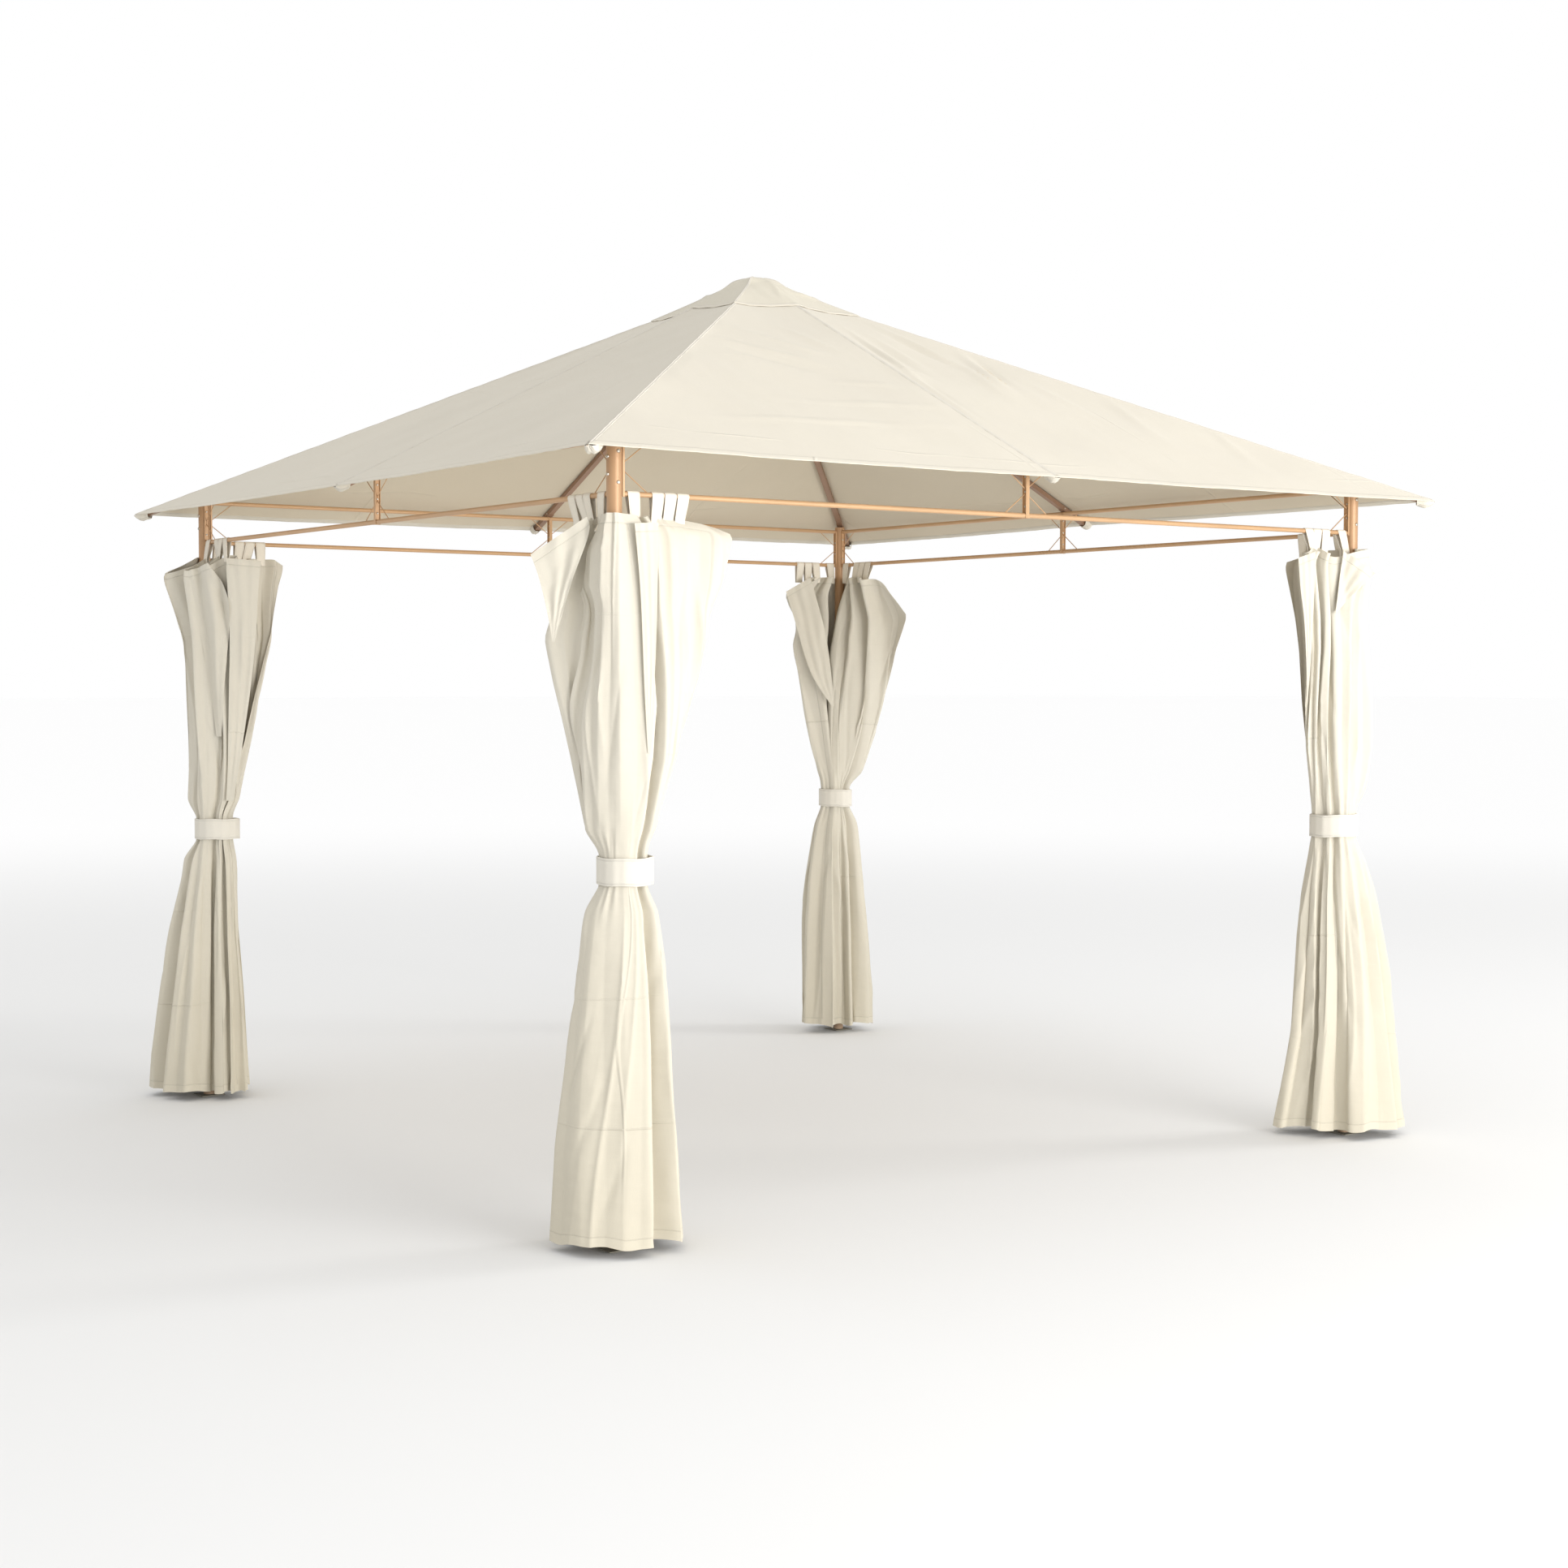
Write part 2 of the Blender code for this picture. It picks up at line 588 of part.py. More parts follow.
# Curtains with their tabs, each tied by a flat band.
for corner, sx, sy in CORNERS:
    _, _, band_z, band_radius, band_centre, _, _ = CURTAINS[corner]
    pieces = [curtain_mesh("curtain", corner)]
    for spot in TAB_PLACES:
        pieces.append(tab_mesh("tab", spot, True))
        pieces.append(tab_mesh("tab", spot, False))
    curtain = union_mesh("curtain_" + corner, pieces)
    bm = bmesh.new()
    bm.from_mesh(curtain)
    flip = Matrix.Diagonal((-sx, -sy, 1, 1))
    bmesh.ops.transform(bm, matrix=flip, verts=bm.verts)
    bmesh.ops.recalc_face_normals(bm, faces=bm.faces)
    bm.to_mesh(curtain)
    bm.free()
    spot = Matrix.Translation((sx * HALF, sy * HALF, 0))
    place("curtain_" + corner, curtain, CURTAIN_CLOTH, spot)
    ring_sides = 40
    inside = (band_radius + 0.0004) / math.cos(math.pi / ring_sides)
    band = ring_mesh("band", inside, inside + BAND_THICK, BAND_HEIGHT, ring_sides)
    centre = Vector((-sx * band_centre[0], -sy * band_centre[1], band_z))
    place("curtain_tie_" + corner, band, BAND_CLOTH, Matrix.Translation(centre) @ spot)
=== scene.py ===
"""Garden gazebo, three metres square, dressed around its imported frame: painted steel tube, a sewn
cream canopy with a vent cap, and a tied curtain at every corner. Metres, +Z up, front side at -Y."""

import math

import bpy
import numpy as np
from mathutils import Matrix


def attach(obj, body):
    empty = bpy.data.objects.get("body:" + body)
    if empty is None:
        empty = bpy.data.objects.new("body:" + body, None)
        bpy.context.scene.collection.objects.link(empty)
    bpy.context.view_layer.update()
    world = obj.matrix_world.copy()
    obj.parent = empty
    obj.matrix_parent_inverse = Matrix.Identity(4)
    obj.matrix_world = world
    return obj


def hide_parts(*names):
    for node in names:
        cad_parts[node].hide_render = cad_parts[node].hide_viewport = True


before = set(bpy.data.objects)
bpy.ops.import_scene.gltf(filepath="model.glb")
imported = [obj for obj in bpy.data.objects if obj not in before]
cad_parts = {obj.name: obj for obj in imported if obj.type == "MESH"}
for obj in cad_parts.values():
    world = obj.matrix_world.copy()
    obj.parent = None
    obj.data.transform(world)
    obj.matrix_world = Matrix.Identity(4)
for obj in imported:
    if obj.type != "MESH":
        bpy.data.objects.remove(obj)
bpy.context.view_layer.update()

# Studio. A pale floor that fades to white behind the object, an even white surround, a broad soft
# light in front and a smaller one high on the right, which crosses the wrinkles. The camera stands
# at eye height before the front left corner.


def put(name, data):
    """A new object in the scene."""
    thing = bpy.data.objects.new(name, data)
    bpy.context.scene.collection.objects.link(thing)
    return thing


camera_data = bpy.data.cameras.new("camera")
camera_data.sensor_width = 36.0
camera_data.lens = 54.55
camera_data.clip_end = 200.0
camera = put("camera", camera_data)
bpy.context.scene.camera = camera
eye = (-4.34678, -6.32523, 1.40980)
heading, pitch, roll = np.radians((54.7744, -2.5393, 0.109)).tolist()
camera.matrix_world = (
    Matrix.Translation(eye)
    @ Matrix.Rotation(heading - math.pi / 2, 4, "Z")
    @ Matrix.Rotation(math.pi / 2 + pitch, 4, "X")
    @ Matrix.Rotation(roll, 4, "Z")
)


def add_node(tree, kind, settings=None, feeds=None):
    """One shader node. Settings are its own values; feeds maps sockets to values or outputs."""
    node = tree.nodes.new("ShaderNode" + kind)
    for key, value in (settings or {}).items():
        setattr(node, key, value)
    for key, value in (feeds or {}).items():
        if isinstance(value, bpy.types.NodeSocket):
            tree.links.new(value, node.inputs[key])
        else:
            node.inputs[key].default_value = value
    return node


def ramp(tree, value, low, high, start, end, ease="LINEAR"):
    """Value carried from the range low to high onto start to end, and held outside it."""
    feeds = {0: value, 1: low, 2: high, 3: start, 4: end}
    return add_node(tree, "MapRange", {"interpolation_type": ease}, feeds).outputs[0]


def blend(tree, share, first, second):
    """Colour between the first and the second."""
    return add_node(tree, "Mix", {"data_type": "RGBA"}, {0: share, 6: first, 7: second}).outputs[2]


def new_finish(name, values):
    """A material with these values on its shader; returns it with its node tree and its shader."""
    finish = bpy.data.materials.new(name)
    finish.use_nodes = True
    shader = finish.node_tree.nodes["Principled BSDF"]
    for label, value in values.items():
        shader.inputs[label].default_value = value
    return finish, finish.node_tree, shader


FLOOR_HALF = 150.0
FLOOR_Z = -0.001
FADE_FROM, FADE_TO = 3.0, 17.0
floor_mesh = bpy.data.meshes.new("floor")
floor_mesh.from_pydata(
    [(x * FLOOR_HALF, y * FLOOR_HALF, FLOOR_Z) for x, y in ((-1, -1), (1, -1), (1, 1), (-1, 1))],
    [], [(0, 1, 2, 3)],
)
floor = put("floor", floor_mesh)
floor_finish, floor_tree, floor_shader = new_finish("studio_floor", {"Roughness": 0.9})
floor_place = add_node(floor_tree, "TexCoord").outputs["Object"]
from_middle = add_node(floor_tree, "VectorMath", {"operation": "LENGTH"}, {0: floor_place})
fade = ramp(floor_tree, from_middle.outputs["Value"], FADE_FROM, FADE_TO, 0.0, 1.0, "SMOOTHERSTEP")
floor_tone = blend(floor_tree, fade, (0.77, 0.77, 0.765, 1), (0.985, 0.985, 0.985, 1))
floor_tree.links.new(floor_tone, floor_shader.inputs["Base Color"])
floor_mesh.materials.append(floor_finish)

world = bpy.data.worlds.new("studio")
world.use_nodes = True
world.node_tree.nodes["Background"].inputs["Color"].default_value = (1.0, 1.0, 1.0, 1)
world.node_tree.nodes["Background"].inputs["Strength"].default_value = 1.0
bpy.context.scene.world = world
bpy.context.scene.view_settings.view_transform = "Standard"

# Each light: name, place, point it faces, width, height, watts.
for label, place, target, wide, tall, watts in (
    ("softbox", (0.8, -8.4, 1.35), (0.0, 0.0, 1.2), 5.0, 2.4, 512.0),
    ("side_light", (6.8, -3.0, 5.7), (0.2, -0.6, 2.2), 1.8, 1.8, 130.0),
):
    light_data = bpy.data.lights.new(label, "AREA")
    light_data.shape = "RECTANGLE"
    light_data.size, light_data.size_y = wide, tall
    light_data.energy = watts
    light_data.color = (1.0, 0.99, 0.98)
    light = put(label, light_data)
    light.location = place
    aim = np.array(target) - place
    light.rotation_euler = (
        math.atan2(math.hypot(aim[0], aim[1]), -aim[2]), 0.0, math.atan2(aim[1], aim[0]) - math.pi / 2
    )

# Steel frame: posts, foot plates, bolted side frames, rafters, saddles and hub. Thin-walled tube and folded
# sheet, powder coated light brown, the plates in a darker coat; the roof bars in the same coat painted
# darker, as painted shade under the canopy.


def calc(tree, operation, first, second=0.0, third=0.0):
    """Result of one Math node."""
    return add_node(tree, "Math", {"operation": operation}, {0: first, 1: second, 2: third}).outputs[0]


def new_group(name, inputs, outputs):
    """An empty shader node group with named sockets; returns it with its two end nodes."""
    group = bpy.data.node_groups.new(name, "ShaderNodeTree")
    kinds = {"number": "NodeSocketFloat", "colour": "NodeSocketColor", "vector": "NodeSocketVector"}
    for label, kind, value in inputs:
        socket = group.interface.new_socket(label, in_out="INPUT", socket_type=kinds[kind])
        if value is not None:
            socket.default_value = value
    for label, kind in outputs:
        group.interface.new_socket(label, in_out="OUTPUT", socket_type=kinds[kind])
    return group, group.nodes.new("NodeGroupInput"), group.nodes.new("NodeGroupOutput")


def noise(tree, place, scale, detail):
    """A noise texture's node; its Fac is a mask, its Color a wander."""
    return add_node(tree, "TexNoise", None, {"Vector": place, "Scale": scale, "Detail": detail})


SURFACE_OUTPUTS = [("Colour", "colour"), ("Roughness", "number"), ("Height", "number")]
DUST = (0.46, 0.42, 0.35, 1)
coat_group, coat_in, coat_out = new_group(
    "powder_coat",
    [("Position", "vector", None), ("Coat", "colour", (1, 1, 1, 1)), ("Bare", "colour", (1, 1, 1, 1)),
     ("Gloss", "number", 0.4)],
    SURFACE_OUTPUTS,
)
position = coat_in.outputs["Position"]
peel = noise(coat_group, position, 420.0, 2.0).outputs["Fac"]
cloudy = noise(coat_group, position, 5.0, 3.0).outputs["Fac"]
specks = noise(coat_group, position, 95.0, 4.0).outputs["Fac"]
height = add_node(coat_group, "SeparateXYZ", None, {0: position}).outputs["Z"]
near_ground = ramp(coat_group, height, 0.0, 0.12, 1.0, 0.0)
tone = ramp(coat_group, cloudy, 0.3, 0.7, 0.93, 1.05)
toned = add_node(
    coat_group, "VectorMath", {"operation": "SCALE"}, {0: coat_in.outputs["Coat"], "Scale": tone}
).outputs[0]
worn = ramp(coat_group, specks, 0.70, 0.78, 0.0, 0.6)
chipped = blend(coat_group, worn, toned, coat_in.outputs["Bare"])
dusty = blend(coat_group, calc(coat_group, "MULTIPLY", near_ground, 0.35), chipped, DUST)
dulled = calc(coat_group, "MULTIPLY_ADD", near_ground, 0.25, coat_in.outputs["Gloss"])
dulled = calc(coat_group, "MULTIPLY_ADD", cloudy, 0.10, dulled)
for label, value in {"Colour": dusty, "Roughness": dulled, "Height": peel}.items():
    coat_group.links.new(value, coat_out.inputs[label])


def surface_of(tree, shader, group, feeds, strength, distance):
    """Roughness and bump of the shader from a group; returns the group's colour."""
    node = add_node(tree, "Group", {"node_tree": group}, feeds)
    relief = {"Strength": strength, "Distance": distance, "Height": node.outputs["Height"]}
    tree.links.new(node.outputs["Roughness"], shader.inputs["Roughness"])
    tree.links.new(add_node(tree, "Bump", None, relief).outputs["Normal"], shader.inputs["Normal"])
    return node.outputs["Colour"]


def painted(name, colour, bare, gloss, metallic):
    """Powder coat: orange peel, cloudy tone, a few chips to the primer, and dust by the ground."""
    finish, tree, shader = new_finish(name, {
        "Metallic": metallic, "Specular IOR Level": 0.35, "Coat Weight": 0.05, "Coat Roughness": 0.25,
    })
    place = add_node(tree, "TexCoord").outputs["Object"]
    feeds = {"Position": place, "Coat": (*colour, 1), "Bare": (*bare, 1), "Gloss": gloss}
    colour_out = surface_of(tree, shader, coat_group, feeds, 0.10, 0.0004)
    tree.links.new(colour_out, shader.inputs["Base Color"])
    return finish


primer = (0.45, 0.38, 0.30)
# The roof bars share the rails' paint; their darker colour is painted shade from the canopy above.
rafter_shaded_finish = painted("rafter_paint_shaded", (0.300, 0.180, 0.115), (0.30, 0.25, 0.20), 0.42, 0.10)
finish_of = {
    "post": painted("post_paint_coat", (0.490, 0.295, 0.160), primer, 0.36, 0.15),
    "side": painted("rail_paint_coat", (0.560, 0.350, 0.190), primer, 0.36, 0.15),
    "foot": painted("foot_paint_coat", (0.150, 0.145, 0.110), (0.30, 0.29, 0.27), 0.55, 0.10),
    "hip": rafter_shaded_finish, "mid": rafter_shaded_finish, "roof": rafter_shaded_finish,
}
for name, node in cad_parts.items():
    kind = name.split("_")[0]
    if kind in finish_of:
        node.data.materials.clear()
        node.data.materials.append(finish_of[kind])

# Bolts and rivets. Pan-headed machine screws hold the side frames to the posts and hexagon nuts to
# each other; small rivets pin the rafters in their saddles. Zinc plated, 5 to 9 mm across.


def stacked(*parts):
    """Arrays of one shape, or stretched to one, joined along a new last axis."""
    return np.stack(np.broadcast_arrays(*parts), axis=-1)


def add_piece(name, points, quads, finishes, cloth=None, seams=None, crease=40.0):
    """A mesh piece riding on the frame: points, and the four-cornered faces of one of its parts.

    Where there are more points than the faces use, the faces are repeated for every like part.
    Cloth and seams are its UV maps in metres: the place in the flat cloth, and the distances to
    its nearest seam and hem. Edges sharper than the crease angle stay sharp.
    """
    points, quads = np.asarray(points, float).reshape(-1, 3), np.asarray(quads).reshape(-1, 4)
    starts = np.arange(0, len(points), quads.max() + 1)
    mesh = bpy.data.meshes.new(name)
    mesh.from_pydata(points.tolist(), [], (quads + starts[:, None, None]).reshape(-1, 4).tolist())
    for finish in finishes:
        mesh.materials.append(finish)
    corner_of = np.zeros(len(mesh.loops), np.int32)
    mesh.loops.foreach_get("vertex_index", corner_of)
    for label, values in (("cloth", cloth), ("seams", seams)):
        if values is not None:
            layer = mesh.uv_layers.new(name=label)
            at_points = np.asarray(values, np.float32).reshape(-1, 2)
            layer.data.foreach_set("uv", at_points[corner_of].ravel())
    mesh.shade_smooth()
    mesh.set_sharp_from_angle(angle=math.radians(crease))
    piece = put(name, mesh)
    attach(piece, "root")
    return piece


def grid_quads(rows, columns, close_columns=False, close_rows=False):
    """Faces of a grid whose point (row, column) has the index row * columns + column."""
    i = np.arange(rows if close_rows else rows - 1)[:, None]
    j = np.arange(columns if close_columns else columns - 1)[None, :]
    low, high, beside = (i + 1) % rows * columns, i * columns, (j + 1) % columns
    return stacked(high + j, high + beside, low + beside, low + j).reshape(-1, 4)


def frame_along(axis):
    """Turn that carries +Z onto the axis."""
    axis = np.asarray(axis, float) / np.linalg.norm(axis)
    side = np.cross(axis, (0.0, 0.0, 1.0) if abs(axis[2]) < 0.9 else (1.0, 0.0, 0.0))
    side /= np.linalg.norm(side)
    return np.column_stack([side, np.cross(axis, side), axis])


def fastener_piece(name, profile, sides, places):
    """One small turned part at many places, each a point and the way that it faces.

    The profile of (radius, height) pairs is turned about +Z: x = r cos a, y = r sin a, z = h.
    """
    profile = np.array(profile)
    angle = 2 * np.pi * np.arange(sides) / sides
    part = stacked(profile[:, :1] * np.cos(angle), profile[:, :1] * np.sin(angle), profile[:, 1:])
    points = [part @ frame_along(axis).T + np.asarray(point) for point, axis in places]
    faces = grid_quads(len(profile), sides, close_columns=True)
    return add_piece(name, points, faces, [zinc], crease=50)


POST_AT = 1.325
POST_RADIUS = 0.019
CHANNEL_FACE = 0.0016
BOLTS_ALONG_X = (1.950, 1.907)
BOLTS_ALONG_Y = (1.963, 1.887)
FRAME_BOLTS = (1.968, 1.927, 1.886)
CORNER_SIGNS = {"front_left": (-1, -1), "front_right": (1, -1), "back_left": (-1, 1), "back_right": (1, 1)}
zinc = painted("zinc_plate", (0.62, 0.58, 0.50), (0.50, 0.47, 0.42), 0.30, 0.85)
pan_head = [
    (0.0001, 0.0031), (0.0014, 0.0031), (0.0015, 0.0024), (0.0022, 0.0024), (0.0024, 0.0031),
    (0.0034, 0.0029), (0.0043, 0.0021), (0.0047, 0.0010), (0.0047, -0.0012), (0.0001, -0.0012),
]
places = []
for sx, sy in CORNER_SIGNS.values():
    for z in BOLTS_ALONG_Y:
        places.append(((sx * POST_AT, sy * (POST_AT + POST_RADIUS), z), (0, sy, 0)))
    for z in BOLTS_ALONG_X:
        places.append(((sx * (POST_AT + POST_RADIUS), sy * POST_AT, z), (sx, 0, 0)))
fastener_piece("post_bolts", pan_head, 20, places)

hex_nut = [
    (0.0001, 0.0026), (0.0026, 0.0026), (0.0030, 0.0022), (0.0034, 0.0006), (0.0034, -0.0004),
    (0.0001, -0.0004),
]
places = []
for turn in range(4):
    spin = np.array(Matrix.Rotation(turn * math.pi / 2, 3, "Z"))
    for side in (-1, 1):
        facing = spin @ np.array((side, 0.0, 0.0))
        for z in FRAME_BOLTS:
            places.append((spin @ np.array((side * CHANNEL_FACE, -POST_AT, z)), facing))
        at_post = side * (POST_AT - POST_RADIUS - CHANNEL_FACE)
        for z in BOLTS_ALONG_Y if turn % 2 else BOLTS_ALONG_X:
            places.append((spin @ np.array((at_post, -POST_AT, z)), -facing))
fastener_piece("frame_nuts", hex_nut, 6, places)

HIP_SLOPE = 0.3375
MID_SLOPE = 0.505
MID_AXIS_Z = 1.994 + 0.0163 * math.hypot(1, MID_SLOPE) + MID_SLOPE * POST_AT
HIP_AXIS_Z = 2.674 - 0.0095 * math.hypot(1, HIP_SLOPE) - 0.0040
RIVET_ASIDE = 0.0114
RIVET_STEP = 0.008
# By whether it is a hip: a rafter's slope, height of its axis at the centre, and reach of its end.
RAFTERS = {True: (HIP_SLOPE, HIP_AXIS_Z, 2.085), False: (MID_SLOPE, MID_AXIS_Z, 1.436)}


def spoke(k):
    """Whether rafter k, counted from the front middle one, is a hip, and its ways out and across."""
    angle = math.radians(45 * k - 90)
    out = np.array((math.cos(angle), math.sin(angle), 0.0))
    return k % 2 == 1, out, np.array((-out[1], out[0], 0.0))


rivet = [
    (0.0001, 0.0014), (0.0012, 0.0013), (0.0021, 0.0009), (0.0026, 0.0002), (0.0026, -0.0006),
    (0.0001, -0.0006),
]
places = []
for k in range(8):
    hip, out, across = spoke(k)
    slope, axis_z, _ = RAFTERS[hip]
    for side in (-1, 1):
        for step in (-RIVET_STEP, RIVET_STEP) if hip else (0.0,):
            reach = (POST_AT * math.sqrt(2) if hip else POST_AT) + step
            point = out * reach + across * side * RIVET_ASIDE + (0, 0, axis_z - slope * reach)
            places.append((point, across * side))
fastener_piece("saddle_rivets", rivet, 14, places)

# Rafter mouths. The square tube of each rafter is cut off plain at the eaves, so its wall and the shaded
# inside show under the hem. One thin frame of bare wall and a sunk black face per bar, the black face painted
# shade for the dark inside of the tube.
TUBE_HALF = np.array((0.0097, 0.0072))
TUBE_WALL = 0.0014
# Painted shade: a near-black face stands in for the shadow inside the open tube.
mouth_shade = painted("tube_inside_painted_shade", (0.030, 0.022, 0.016), (0.06, 0.05, 0.04), 0.8, 0.0)
square = np.array([(-1, -1), (1, -1), (1, 1), (-1, 1)], float)
rings = [
    (square * TUBE_HALF, 0.0001), (square * TUBE_HALF, 0.0008), (square * (TUBE_HALF - TUBE_WALL), 0.0008),
    (square * (TUBE_HALF - TUBE_WALL), 0.0003), (square * 0.0002, 0.0003),
]
points = []
for k in range(8):
    hip, out, across = spoke(k)
    slope, axis_z, end = RAFTERS[hip]
    along = (out - (0, 0, slope)) / math.hypot(1, slope)
    centre = out * end + (0, 0, axis_z - slope * end)
    for outline, depth in rings:
        up = outline[:, 1:] * np.cross(along, across)
        points.append(centre + along * depth + outline[:, :1] * across + up)
mouths = add_piece(
    "rafter_mouths", points, grid_quads(len(rings), 4, close_columns=True), [rafter_shaded_finish, mouth_shade],
    crease=30,
)
mouths.data.polygons.foreach_set("material_index", np.tile(np.repeat((0, 1), (12, 4)), 8).astype(np.int32))

# Canopy. Four panels of coated plain-weave polyester, each pieced along its middle, sewn into one sheet that
# the eight rafters stretch. The under side is coloured darker and warmer than the top, painted shade for the
# dim light under the roof.
CORNER_AT = 1.500
MID_AT = 1.455
HIP_TOP_Z = 2.674
MID_TOP_Z = MID_AXIS_Z + 0.0095 * math.hypot(1, MID_SLOPE) + 0.0024
CLOTH_THICK = 0.0013
EAVE_DISTANCE = 1.55
OPENING = 0.085


def new_cloth_group():
    """Plain weave with slubs, soft tone, storage creases with a little painted shade along them, and a
    stitched hem, from UVs in metres.
    """
    group, ends, out = new_group(
        "woven_cloth",
        [("Cloth", "vector", None), ("Seams", "vector", None), ("Thread", "colour", (1, 1, 1, 1)),
         ("Hem", "number", 0.024), ("Crease", "number", 0.43), ("Wrinkle", "number", 2.0)],
        SURFACE_OUTPUTS,
    )
    cloth = ends.outputs["Cloth"]

    def stretched_noise(place, factors, detail):
        run = add_node(group, "VectorMath", {"operation": "MULTIPLY"}, {0: place, 1: factors})
        return noise(group, run.outputs[0], 1.0, detail).outputs["Fac"]

    threads = add_node(group, "VectorMath", {"operation": "SCALE"}, {0: cloth, "Scale": 2600.0})
    split = add_node(group, "SeparateXYZ", None, {0: threads.outputs[0]})
    over = calc(group, "SINE", split.outputs["X"])
    weave = calc(group, "MULTIPLY", over, calc(group, "SINE", split.outputs["Y"]))
    warp_slubs = stretched_noise(cloth, (40.0, 900.0, 1.0), 1.0)
    slub = calc(group, "ADD", warp_slubs, stretched_noise(cloth, (900.0, 40.0, 1.0), 1.0))
    soft = noise(group, cloth, 2.3, 3.0).outputs["Fac"]
    wander = noise(group, cloth, 1.7, 1.0).outputs["Color"]
    pushed = add_node(
        group, "VectorMath", {"operation": "MULTIPLY_ADD"}, {0: wander, 1: (0.10, 0.10, 0.0), 2: cloth}
    ).outputs[0]
    long_buckle = stretched_noise(pushed, (9.0, 2.6, 1.0), 2.0)
    short_buckle = stretched_noise(pushed, (13.0, 24.0, 1.0), 1.0)
    buckle = calc(group, "MULTIPLY_ADD", short_buckle, 0.22, long_buckle)
    creased = add_node(group, "SeparateXYZ", None, {0: pushed})
    lines = []
    for axis in ("X", "Y"):
        cell = calc(group, "DIVIDE", creased.outputs[axis], ends.outputs["Crease"])
        lines.append(ramp(group, calc(group, "PINGPONG", cell, 0.5), 0.0, 0.012, 1.0, 0.0, "SMOOTHSTEP"))
    patch = ramp(group, soft, 0.47, 0.62, 0.0, 0.8, "SMOOTHSTEP")
    crease = calc(group, "MULTIPLY", calc(group, "MAXIMUM", *lines), patch)
    seams = add_node(group, "SeparateXYZ", None, {0: ends.outputs["Seams"]})
    nearest = calc(group, "MINIMUM", seams.outputs["X"], seams.outputs["Y"])
    past_hem = calc(group, "SUBTRACT", nearest, ends.outputs["Hem"])
    stitch = ramp(group, calc(group, "ABSOLUTE", past_hem), 0.0006, 0.0022, 1.0, 0.0)
    doubled = ramp(group, past_hem, -0.001, 0.001, 1.0, 0.0)
    tone = ramp(group, soft, 0.3, 0.7, 0.975, 1.015)
    tone = calc(group, "MULTIPLY_ADD", calc(group, "SUBTRACT", slub, 1.0), 0.05, tone)
    # Stitch lines are darker and the doubled hem a little lighter; the crease lines get a touch of painted
    # shade.
    for mask, change in ((stitch, -0.09), (doubled, 0.02), (crease, -0.012)):
        tone = calc(group, "MULTIPLY_ADD", mask, change, tone)
    rise = calc(group, "MULTIPLY_ADD", weave, 0.10, calc(group, "MULTIPLY", slub, 0.12))
    for mask, change in ((stitch, -1.0), (doubled, 0.9), (crease, 3.2), (buckle, ends.outputs["Wrinkle"])):
        rise = calc(group, "MULTIPLY_ADD", mask, change, rise)
    tinted = add_node(
        group, "VectorMath", {"operation": "SCALE"}, {0: ends.outputs["Thread"], "Scale": tone}
    ).outputs[0]
    rough = calc(group, "MULTIPLY_ADD", slub, 0.10, 0.74)
    for label, value in {"Colour": tinted, "Roughness": rough, "Height": rise}.items():
        group.links.new(value, out.inputs[label])
    return group


cloth_group = new_cloth_group()


def woven(name, colour, hem, crease, wrinkle=4.0, foot_shade=(1, 1, 1)):
    """A finish of the woven cloth, read from the piece's two UV maps; the last colour darkens its foot,
    painted shade that fades out by 1.2 m up.
    """
    finish, tree, shader = new_finish(
        name, {"Sheen Weight": 0.10, "Sheen Roughness": 0.5, "Specular IOR Level": 0.25}
    )
    feeds = {"Thread": (*colour, 1), "Hem": hem, "Crease": crease, "Wrinkle": wrinkle}
    for label in ("Cloth", "Seams"):
        feeds[label] = add_node(tree, "UVMap", {"uv_map": label.lower()}).outputs[0]
    weave = surface_of(tree, shader, cloth_group, feeds, 0.7, 0.0010)
    place = add_node(tree, "SeparateXYZ", None, {0: add_node(tree, "TexCoord").outputs["Object"]})
    # Painted shade toward the floor: below 1.2 m the colour is scaled toward the foot colour.
    foot = add_node(
        tree, "MapRange", {"data_type": "FLOAT_VECTOR"},
        {6: place.outputs["Z"], 7: (0.0, 0.0, 0.0), 8: (1.2, 1.2, 1.2), 9: foot_shade, 10: (1.0, 1.0, 1.0)},
    )
    tinted = add_node(tree, "VectorMath", {"operation": "MULTIPLY"}, {0: weave, 1: foot.outputs[1]})
    tree.links.new(tinted.outputs[0], shader.inputs["Base Color"])
    return finish


NO_CREASE = 3.0  # a spacing past the size of a small piece
canopy_top = woven("canopy_cloth_top", (0.624, 0.580, 0.488), 0.026, 0.72)
# Painted shade: the under side's colour is darker and warmer than the top's, for the dim light under the
# roof.
canopy_under_shaded = woven("canopy_cloth_under_painted_shade", (0.600, 0.525, 0.398), 0.026, 0.72)

